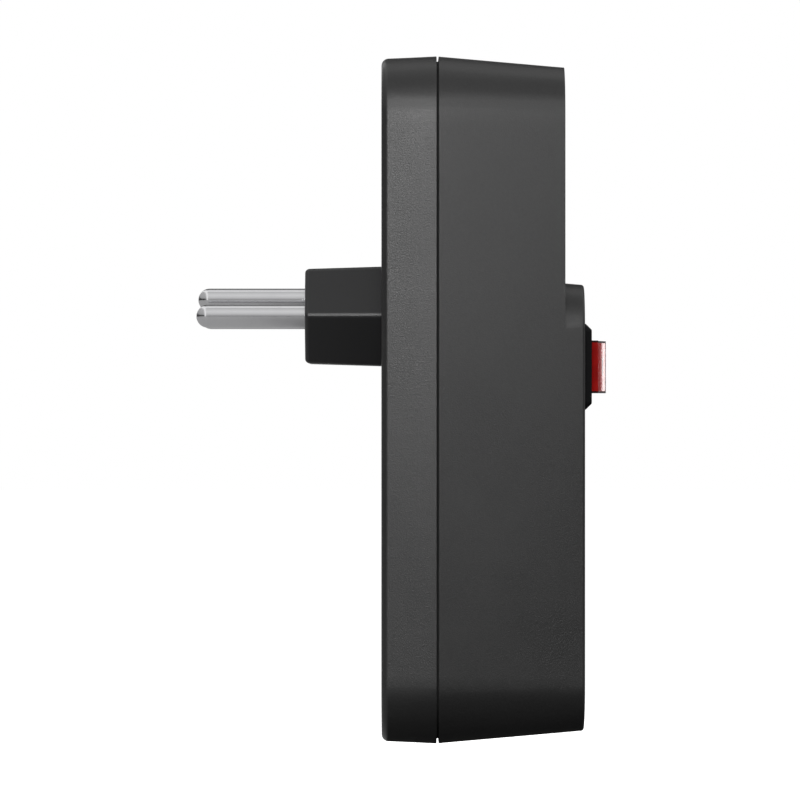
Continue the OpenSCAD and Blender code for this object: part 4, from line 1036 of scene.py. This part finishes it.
@dataclass
class Switch:
    """The rocker switch with its lamp and contacts."""

    middle: float = -8.8
    pivot: float = -47.0
    tip: float = 7.5
    half: float = 7.2
    end_height: float = 5.084
    dip: float = 1.0
    mark_out: float = 4.5
    proud: float = 0.02
    sunk: float = 0.03
    bar: Pair = (0.22, 1.5)
    ring: Pair = (1.05, 1.45)
    lamp: Point = (5.0, -41.4, -8.8)
    electrode_out: float = 0.5
    lead_out: float = 2.7
    body_edge: float = 0.14
    lens_edge: float = 0.2
    plunger_edge: float = 0.05
    contact_edge: float = 0.07
    resistor_edge: float = 0.12
    coil_foot: Point = (0.0, 3.2, 0.0)
    coil_length: float = 2.0
    coil_radius: float = 1.0
    coil_wire: float = 0.14
    coil_turns: int = 4
    round_sides: int = 32
    thin_sides: int = 12

    # Radius and place along the axis, for the lamp's glass, its electrodes and its leads
    GLASS = ((0.0, -3.0), (0.9, -2.95), (1.3, -2.6), (1.4, -2.1), (1.4, 1.7), (1.2, 2.3),
             (0.6, 2.75), (0.2, 2.9), (0.0, 3.0))
    ELECTRODE = ((0.0, -2.4), (0.25, -2.4), (0.25, 1.4), (0.0, 1.5))
    LEAD = ((0.0, 0.0), (0.25, 0.0), (0.25, 5.9), (0.0, 5.9))

    def face_height(self, x: float) -> float:
        """Height of the rocker's face over its pivot."""
        fall = math.hypot(self.half, self.dip) - math.hypot(x, self.dip)
        return self.end_height - fall * math.tan(math.radians(self.tip))

    def settle(self, mesh: BMesh) -> BMesh:
        """Moves what is made round a level rocker at the origin to its place at rest.

        Args:
            mesh: the mesh, in metres.

        Returns:
            The same mesh.
        """
        turn = Matrix.Rotation(math.radians(-self.tip), 4, "Z")
        bmesh.ops.transform(mesh, verts=mesh.verts,
                            matrix=Matrix.Translation(metres((0.0, self.pivot, self.middle)))
                            @ turn)
        return mesh

    def marks(self, shop: Workshop) -> None:
        """A bar at one end of the rocker and a ring at the other, as thin prints.

        Args:
            shop: where the pieces are made.
        """
        inner, outer = self.ring
        low, high = -self.sunk, self.proud
        ring = shop.turned([(inner, low), (inner, high), (outer, high), (outer, low),
                            (inner, low)], (0.0, 0.0, 0.0), (0, -1, 0), self.round_sides)
        bar = bmesh.new()
        wide, tall = self.bar
        shop.slab(bar, (-wide, -high, -tall), (wide, -low, tall))
        for x, name, mesh in ((-self.mark_out, "rocker_ring_mark", ring),
                              (self.mark_out, "rocker_bar_mark", bar)):
            lean = math.atan(math.tan(math.radians(self.tip)) * x / math.hypot(x, self.dip))
            bmesh.ops.transform(mesh, verts=mesh.verts,
                                matrix=Matrix.Translation(metres((x, -self.face_height(x), 0.0)))
                                @ Matrix.Rotation(-lean, 4, "Z"))
            shop.piece(self.settle(mesh), name, Finishes.MARK, "rocker", replaces=False)

    def glow_lamp(self, shop: Workshop) -> None:
        """A glass envelope with a drawn tip, and two electrodes on their leads.

        Args:
            shop: where the pieces are made.
        """
        x, y, z = self.lamp
        mesh = shop.turned(self.GLASS, self.lamp, (0, 0, 1), self.round_sides)
        shop.piece(mesh, "switch_lamp_glass", Finishes.GLASS, "switch_lamp", sharp=60.0)
        mesh = bmesh.new()
        for side in (-1, 1):
            self.join(mesh, shop.turned(self.ELECTRODE, (x, y + side * self.electrode_out, z),
                                        (0, 0, 1), self.thin_sides))
            self.join(mesh, shop.turned(self.LEAD, (x, y, z + side * self.lead_out),
                                        (0, 1, 0), self.thin_sides))
        shop.piece(mesh, "switch_lamp_electrodes", Finishes.SPRING, "switch_lamp",
                   replaces=False)

    @staticmethod
    def join(mesh: BMesh, other: BMesh) -> None:
        """Adds another mesh to a mesh, and frees it.

        Args:
            mesh: the mesh that grows.
            other: the mesh that is added.
        """
        data = as_data(other, "joined")
        mesh.from_mesh(data)
        bpy.data.meshes.remove(data)

    def build(self, shop: Workshop) -> None:
        """Makes the switch from its rim inwards.

        Args:
            shop: where the pieces are made.
        """
        shop.softened("switch_body", "moulding", Finishes.RIM, self.body_edge, segments=3)
        shop.softened("rocker", "lens", Finishes.LENS, self.lens_edge, segments=3)
        self.marks(shop)
        shop.softened("plunger", "turning", Finishes.SPRING, self.plunger_edge)
        mesh = shop.coiled(self.coil_foot, (0, -1, 0), self.coil_length, self.coil_radius,
                           self.coil_wire, self.coil_turns)
        shop.piece(self.settle(mesh), "plunger_spring_coil", Finishes.SPRING, "plunger_spring")
        for name in ("contact_bar", "supply_terminal", "load_terminal", "lamp_terminal"):
            shop.softened(name, "stamping", Finishes.BRASS, self.contact_edge)
        self.glow_lamp(shop)
        shop.softened("lamp_resistor", "body", Finishes.RESISTOR, self.resistor_edge)


@dataclass
class Charger:
    """The charging ports and the board that feeds them."""

    back: float = -32.3
    port_z: float = -56.5
    port_x: float = 8.0
    port_half: float = 2.5
    mouth: float = -47.9
    leaf_out: float = 3.2
    leaf_half: float = 1.1
    leaf_edge: float = 0.05
    lead_half: float = 0.2
    front: float = -33.9
    joint: float = 0.8
    fuse: Point = (-11.5, -31.1, -48.5)
    port_edge: float = 0.08
    gilt_edge: float = 0.03
    board_edge: float = 0.06
    screw_edge: float = 0.08
    core_edge: float = 0.25
    winding_edge: float = 0.6
    bridge_edge: float = 0.2
    chip_edge: float = 0.15
    disc_edge: float = 0.35
    can_sides: int = 48
    fuse_sides: int = 32

    # Inset from a can's radius with the height over its foot, and with the depth under its top
    CAN_FOOT = ((0.3, 0.0), (0.05, 0.2), (0.0, 0.5), (0.0, 1.1), (0.3, 1.4), (0.3, 1.6),
                (0.0, 1.9))
    CAN_TOP = ((0.0, 0.5), (0.15, 0.15), (0.5, 0.0), (0.8, 0.05), (1.0, 0.25))
    # Radius and place along the fuse resistor
    FUSE = ((0.0, 0.0), (0.8, 0.0), (1.15, 0.3), (1.2, 0.8), (1.2, 1.5), (1.05, 1.9),
            (1.05, 4.6), (1.2, 5.0), (1.2, 5.7), (1.15, 6.2), (0.8, 6.5), (0.0, 6.5))
    # Parts of a chip's lead, from corner to corner, out from the chip and up from the board
    LEAD = (((0.0, 0.75), (0.45, 0.95)), ((0.3, 0.1), (0.45, 0.8)), ((0.3, 0.0), (0.9, 0.15)))
    # Parts of a spring leaf: where each starts and ends behind the mouth, and its bow's range
    LEAF = ((3.0, 5.2, 0.0, 0.3), (5.0, 6.6, 0.25, 0.45), (6.4, 7.6, 0.1, 0.3))
    # Where the leads come through the board, across and up
    JOINTS = ((10.0, -49.3), (10.0, -53.7), (10.6, -61.2), (10.6, -63.8), (-12.5, -60.5),
              (-9.5, -60.5), (-6.5, -60.5), (-12.5, -64.0), (-6.5, -64.0), (1.2, -49.0),
              (4.2, -49.0), (-12.0, -48.5), (-4.6, -48.5), (14.2, -46.9), (-14.2, -46.9))

    def can(self, shop: Workshop, node: str, finish: Finish) -> None:
        """A capacitor with a rolled groove over its foot and a dished top.

        Args:
            shop: where the pieces are made.
            node: its node.
            finish: its finish.
        """
        low, high = shop.box(node)
        x, z = (low.x + high.x) / 2, (low.z + high.z) / 2
        r, h = (high.z - low.z) / 2, high.y - low.y
        profile = [(0.0, 0.0), *((r - inset, up) for inset, up in self.CAN_FOOT),
                   *((r - inset, h - down) for inset, down in self.CAN_TOP)]
        profile.append((0.0, profile[-1][1]))
        mesh = shop.turned(profile, (x, self.back, z), (0, 1, 0), self.can_sides)
        shop.piece(mesh, f"{node}_can", finish, node)

    def chip(self, shop: Workshop, node: str, edge: float, count: int) -> None:
        """A chip with bent flat leads down both long sides, onto the board.

        Args:
            shop: where the pieces are made.
            node: its node.
            edge: the width of its edges' rounding.
            count: how many leads each side has.
        """
        shop.softened(node, "resin", Finishes.EPOXY, edge)
        low, high = shop.box(node)
        mesh = bmesh.new()
        pitch = (high.z - low.z) / count
        for side, x in ((-1, low.x), (1, high.x)):
            for i in range(count):
                z = low.z + pitch * (i + 0.5)
                for a, b in self.LEAD:
                    ends = sorted((x + side * a[0], x + side * b[0]))
                    shop.slab(mesh, (ends[0], self.back + a[1], z - self.lead_half),
                              (ends[1], self.back + b[1], z + self.lead_half))
        shop.piece(mesh, f"{node}_leads", Finishes.SOLDER, node, replaces=False)

    def joints(self, shop: Workshop) -> None:
        """Domes of solder on the board's front, under the parts' leads.

        Args:
            shop: where the pieces are made.
        """
        mesh = bmesh.new()
        flattened = Matrix.Diagonal((1, 0.5, 1, 1))
        for x, z in self.JOINTS:
            place = Matrix.Translation(metres((x, self.front, z)))
            bmesh.ops.create_uvsphere(mesh, u_segments=12, v_segments=8, radius=self.joint * MM,
                                      matrix=place @ flattened)
        shop.piece(mesh, "board_solder_joints", Finishes.SOLDER, "usb_board", replaces=False)

    def leaves(self, shop: Workshop, side: str, x: float) -> None:
        """The four spring leaves that bow into a port's shell.

        Args:
            shop: where the pieces are made.
            side: the port's side, left or right.
            x: the middle of the port.
        """
        mesh = bmesh.new()
        for middle in (x - self.leaf_out, x + self.leaf_out):
            for up in (-1, 1):
                for start, end, low, high in self.LEAF:
                    heights = sorted(self.port_z + up * (self.port_half - bow)
                                     for bow in (low, high))
                    shop.slab(mesh, (middle - self.leaf_half, self.mouth + start, heights[0]),
                              (middle + self.leaf_half, self.mouth + end, heights[1]))
        shop.bevelled(mesh, list(mesh.edges), self.leaf_edge)
        node = f"usb_{side}_shell"
        shop.piece(mesh, f"{node}_leaves", Finishes.PORT, node, replaces=False)

    def build(self, shop: Workshop) -> None:
        """Makes the ports, the board and what stands on it.

        Args:
            shop: where the pieces are made.
        """
        for side, x in (("left", -self.port_x), ("right", self.port_x)):
            shop.softened(f"usb_{side}_shell", "stamping", Finishes.PORT, self.port_edge)
            self.leaves(shop, side, x)
            shop.softened(f"usb_{side}_insert", "moulding", Finishes.TONGUE, self.port_edge)
            shop.softened(f"usb_{side}_contacts", "stamping", Finishes.GOLD, self.gilt_edge)
        shop.softened("usb_board", "laminate", Finishes.BOARD, self.board_edge)
        self.joints(shop)
        shop.softened("board_screws", "turning", Finishes.ZINC, self.screw_edge)
        shop.softened("transformer_core", "halves", Finishes.FERRITE, self.core_edge)
        shop.softened("transformer_winding", "windings", Finishes.TAPE, self.winding_edge,
                      segments=4)
        self.can(shop, "input_capacitor", Finishes.SLEEVE_IN)
        self.can(shop, "output_capacitor", Finishes.SLEEVE_OUT)
        self.chip(shop, "bridge_rectifier", self.bridge_edge, count=2)
        self.chip(shop, "controller_chip", self.chip_edge, count=4)
        mesh = shop.turned(self.FUSE, self.fuse, (1, 0, 0), self.fuse_sides)
        shop.piece(mesh, "fuse_resistor_body", Finishes.FUSE, "fuse_resistor")
        shop.softened("safety_capacitor", "dipping", Finishes.DISC, self.disc_edge, segments=3)


@dataclass(frozen=True)
class Lamp:
    """A flat soft lamp, in metres and watts.

    It may light only some pieces, or skip some. Glossy surfaces may mirror it or not, and it
    may light matt ones or not.
    """

    name: str
    place: Point
    target: Point
    size: Pair
    power: float
    only: Sequence[str] = ()
    skip: Sequence[str] = ()
    mirrored: bool = True
    diffuse: bool = True

    def build(self) -> None:
        """Hangs the lamp in the scene."""
        data = bpy.data.lights.new(self.name, "AREA")
        data.shape = "RECTANGLE"
        data.size, data.size_y = self.size
        data.energy = self.power
        lamp = placed(self.name, data)
        lamp.location = self.place
        aim = Vector(self.target) - Vector(self.place)
        lamp.rotation_euler = aim.to_track_quat("-Z", "Y").to_euler()
        lamp.visible_camera = False
        lamp.visible_glossy = self.mirrored
        lamp.visible_diffuse = self.diffuse
        if self.only or self.skip:
            receivers = bpy.data.collections.new(f"{self.name} receivers")
            lamp.light_linking.receiver_collection = receivers
            for piece in self.only or self.skip:
                receivers.objects.link(bpy.data.objects[piece])
            for item in receivers.collection_objects:
                item.light_linking.link_state = "INCLUDE" if self.only else "EXCLUDE"


@dataclass
class Studio:
    """Camera, lamps, world and floor."""

    distance: float = 0.9595
    aim: Pair = (-0.0165, -0.0146)
    lens: float = 245.25
    floor: float = -0.13
    floor_half: float = 6.0
    floor_dark: float = 0.01
    glow: float = 0.79
    mirrored_glow: float = 0.33
    glow_edge: float = 0.004
    strip: float = 0.95

    # What matt surfaces get, from straight below (0) to straight above (1)
    SOFT = ((0.0, 0.01), (0.5, 0.04), (0.75, 0.24), (1.0, 0.75))
    # What glossy ones mirror, by turns about Y: behind (0), below, camera (0.5), above, behind (1)
    CARDS = ((0.0, 0.05), (0.15, 0.33), (0.515, 0.34), (0.56, 0.6), (0.63, 0.74), (0.73, 0.56),
             (0.765, 0.52), (0.775, 1.0), (0.8, 1.0), (0.81, 0.6), (0.82, 0.6), (0.86, 0.4),
             (0.88, 0.05))
    # Where a bright strip and the place ahead of the pins take over, from -Y (0) to +Y (1)
    STRIP_SHARE = ((0.62, 0.0), (0.66, 1.0), (0.73, 1.0), (0.76, 0.0))
    AHEAD_SHARE = ((0.75, 0.0), (0.8, 1.0))
    # What is mirrored there, from level (0) to straight above (1)
    AHEAD = ((0.0, 0.02), (0.16, 0.04), (0.24, 0.38), (1.0, 0.5))

    MIDDLE = (-0.01, -0.02, -0.01)
    PINS = ("line_pin_turning", "neutral_pin_turning", "earth_pin_turning")
    LENS = ("rocker_lens", "rocker_ring_mark", "rocker_bar_mark")
    LAMPS = (
        Lamp("key", (-0.8, 0.034, 0.115), MIDDLE, (0.39, 0.05), 1.8, skip=PINS),
        Lamp("key's upper half", (-0.7, 0.034, 0.4), MIDDLE, (0.39, 0.3), 1.4, skip=PINS,
             diffuse=False),
        Lamp("front fill", (0.1, -0.9, 0.4), MIDDLE, (1.2, 0.8), 5.0, mirrored=False),
        Lamp("shell fill", (0.5, -0.8, 0.3), MIDDLE, (0.8, 0.8), 8.0, skip=LENS, mirrored=False),
        Lamp("far side fill", (0.8, 0.2, 0.4), MIDDLE, (0.8, 0.8), 8.0, mirrored=False),
        Lamp("back fill", (0.1, 0.9, 0.4), MIDDLE, (0.8, 0.8), 4.0, mirrored=False),
        Lamp("rim", (0.39, -0.46, 0.0), (0.0, -0.045, -0.01), (0.2, 0.3), 1.4, only=LENS,
             diffuse=False),
        Lamp("lens light", (-0.8, 0.0, 0.05), (0.0, -0.05, -0.01), (0.2, 0.2), 1.3, only=LENS,
             mirrored=False))

    def camera(self) -> None:
        """Looks level along +X, with the pins to the left."""
        data = bpy.data.cameras.new("camera")
        data.lens = self.lens
        data.sensor_width = 36.0
        data.clip_start = 0.01
        camera = placed("camera", data)
        camera.location = (-self.distance, *self.aim)
        camera.rotation_euler = (math.pi / 2, 0.0, -math.pi / 2)
        bpy.context.scene.camera = camera

    def world(self) -> None:
        """White to the camera; to the object a bright ceiling, and cards on the camera's side."""
        world = bpy.data.worlds.new("studio")
        bpy.context.scene.world = world
        nodes = Nodes(world)
        direction = nodes.add("ShaderNodeTexCoord", {}, {}, 0)
        up = nodes.part(direction, Along.Z)
        side = nodes.part(direction, Along.Y) * 0.5 + 0.5
        turn = nodes.maths("ARCTAN2", up, nodes.part(direction, Along.X) * -1.0)
        cards = nodes.ramp(turn * (1.0 / math.tau) + 0.5, self.CARDS)
        cards = nodes.blend(nodes.ramp(side, self.STRIP_SHARE), cards, grey(self.strip))
        cards = nodes.blend(nodes.ramp(side, self.AHEAD_SHARE), cards,
                            nodes.ramp(up, self.AHEAD))
        lit = nodes.blend(nodes.rays(Rays.GLOSSY), nodes.ramp(up * 0.5 + 0.5, self.SOFT), cards)
        back = nodes.add("ShaderNodeBackground", {}, {
            "Color": nodes.blend(nodes.rays(Rays.CAMERA), lit, grey(1.0)), "Strength": 1.0})
        nodes.add("ShaderNodeOutputWorld", {}, {"Surface": back})

    def ground(self) -> None:
        """A pale floor that is white to the camera, apart from the shadow on it."""
        mesh = bmesh.new()
        bmesh.ops.create_grid(mesh, x_segments=1, y_segments=1, size=self.floor_half,
                              matrix=Matrix.Translation((0.0, 0.0, self.floor)))
        data = as_data(mesh, "floor")
        floor = placed("floor", data)
        material = bpy.data.materials.new("floor")
        nodes = Nodes(material)
        seen = nodes.rays(Rays.CAMERA)
        card = (nodes.across(Along.Y) * (1.0 / self.glow_edge)).clamped()
        paper = nodes.blend(nodes.noise(0.4, 1.0), grey(0.5), grey(0.52))
        nodes.surface({
            "Base Color": nodes.blend(seen, grey(self.floor_dark), paper), "Roughness": 0.9,
            "Emission Color": (seen * self.glow
                               + nodes.rays(Rays.GLOSSY) * card * self.mirrored_glow),
            "Emission Strength": 1.0})
        data.materials.append(material)

    def build(self) -> None:
        """Makes the whole studio."""
        self.camera()
        self.world()
        self.ground()
        for lamp in self.LAMPS:
            lamp.build()


def main() -> None:
    """Builds the whole object and its studio."""
    logging.basicConfig(level=logging.INFO, format="%(message)s")
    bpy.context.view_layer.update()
    slots = {row["node"]: row["material_slot"] for row in frame["record"]["subparts"]}
    shop = Workshop(frame["nodes"], slots)
    Housing().build(shop)
    Plug().build(shop)
    Socket("upper", face=-44.9, middle=24.0).build(shop)
    Socket("lower", face=-48.3, middle=-33.0).build(shop)
    Wiring().build(shop)
    Switch().build(shop)
    Charger().build(shop)
    Studio().build()
    bpy.context.scene.view_settings.view_transform = "Standard"
    LOG.info("%d pieces", len(shop.made))


if __name__ == "__main__":
    main()
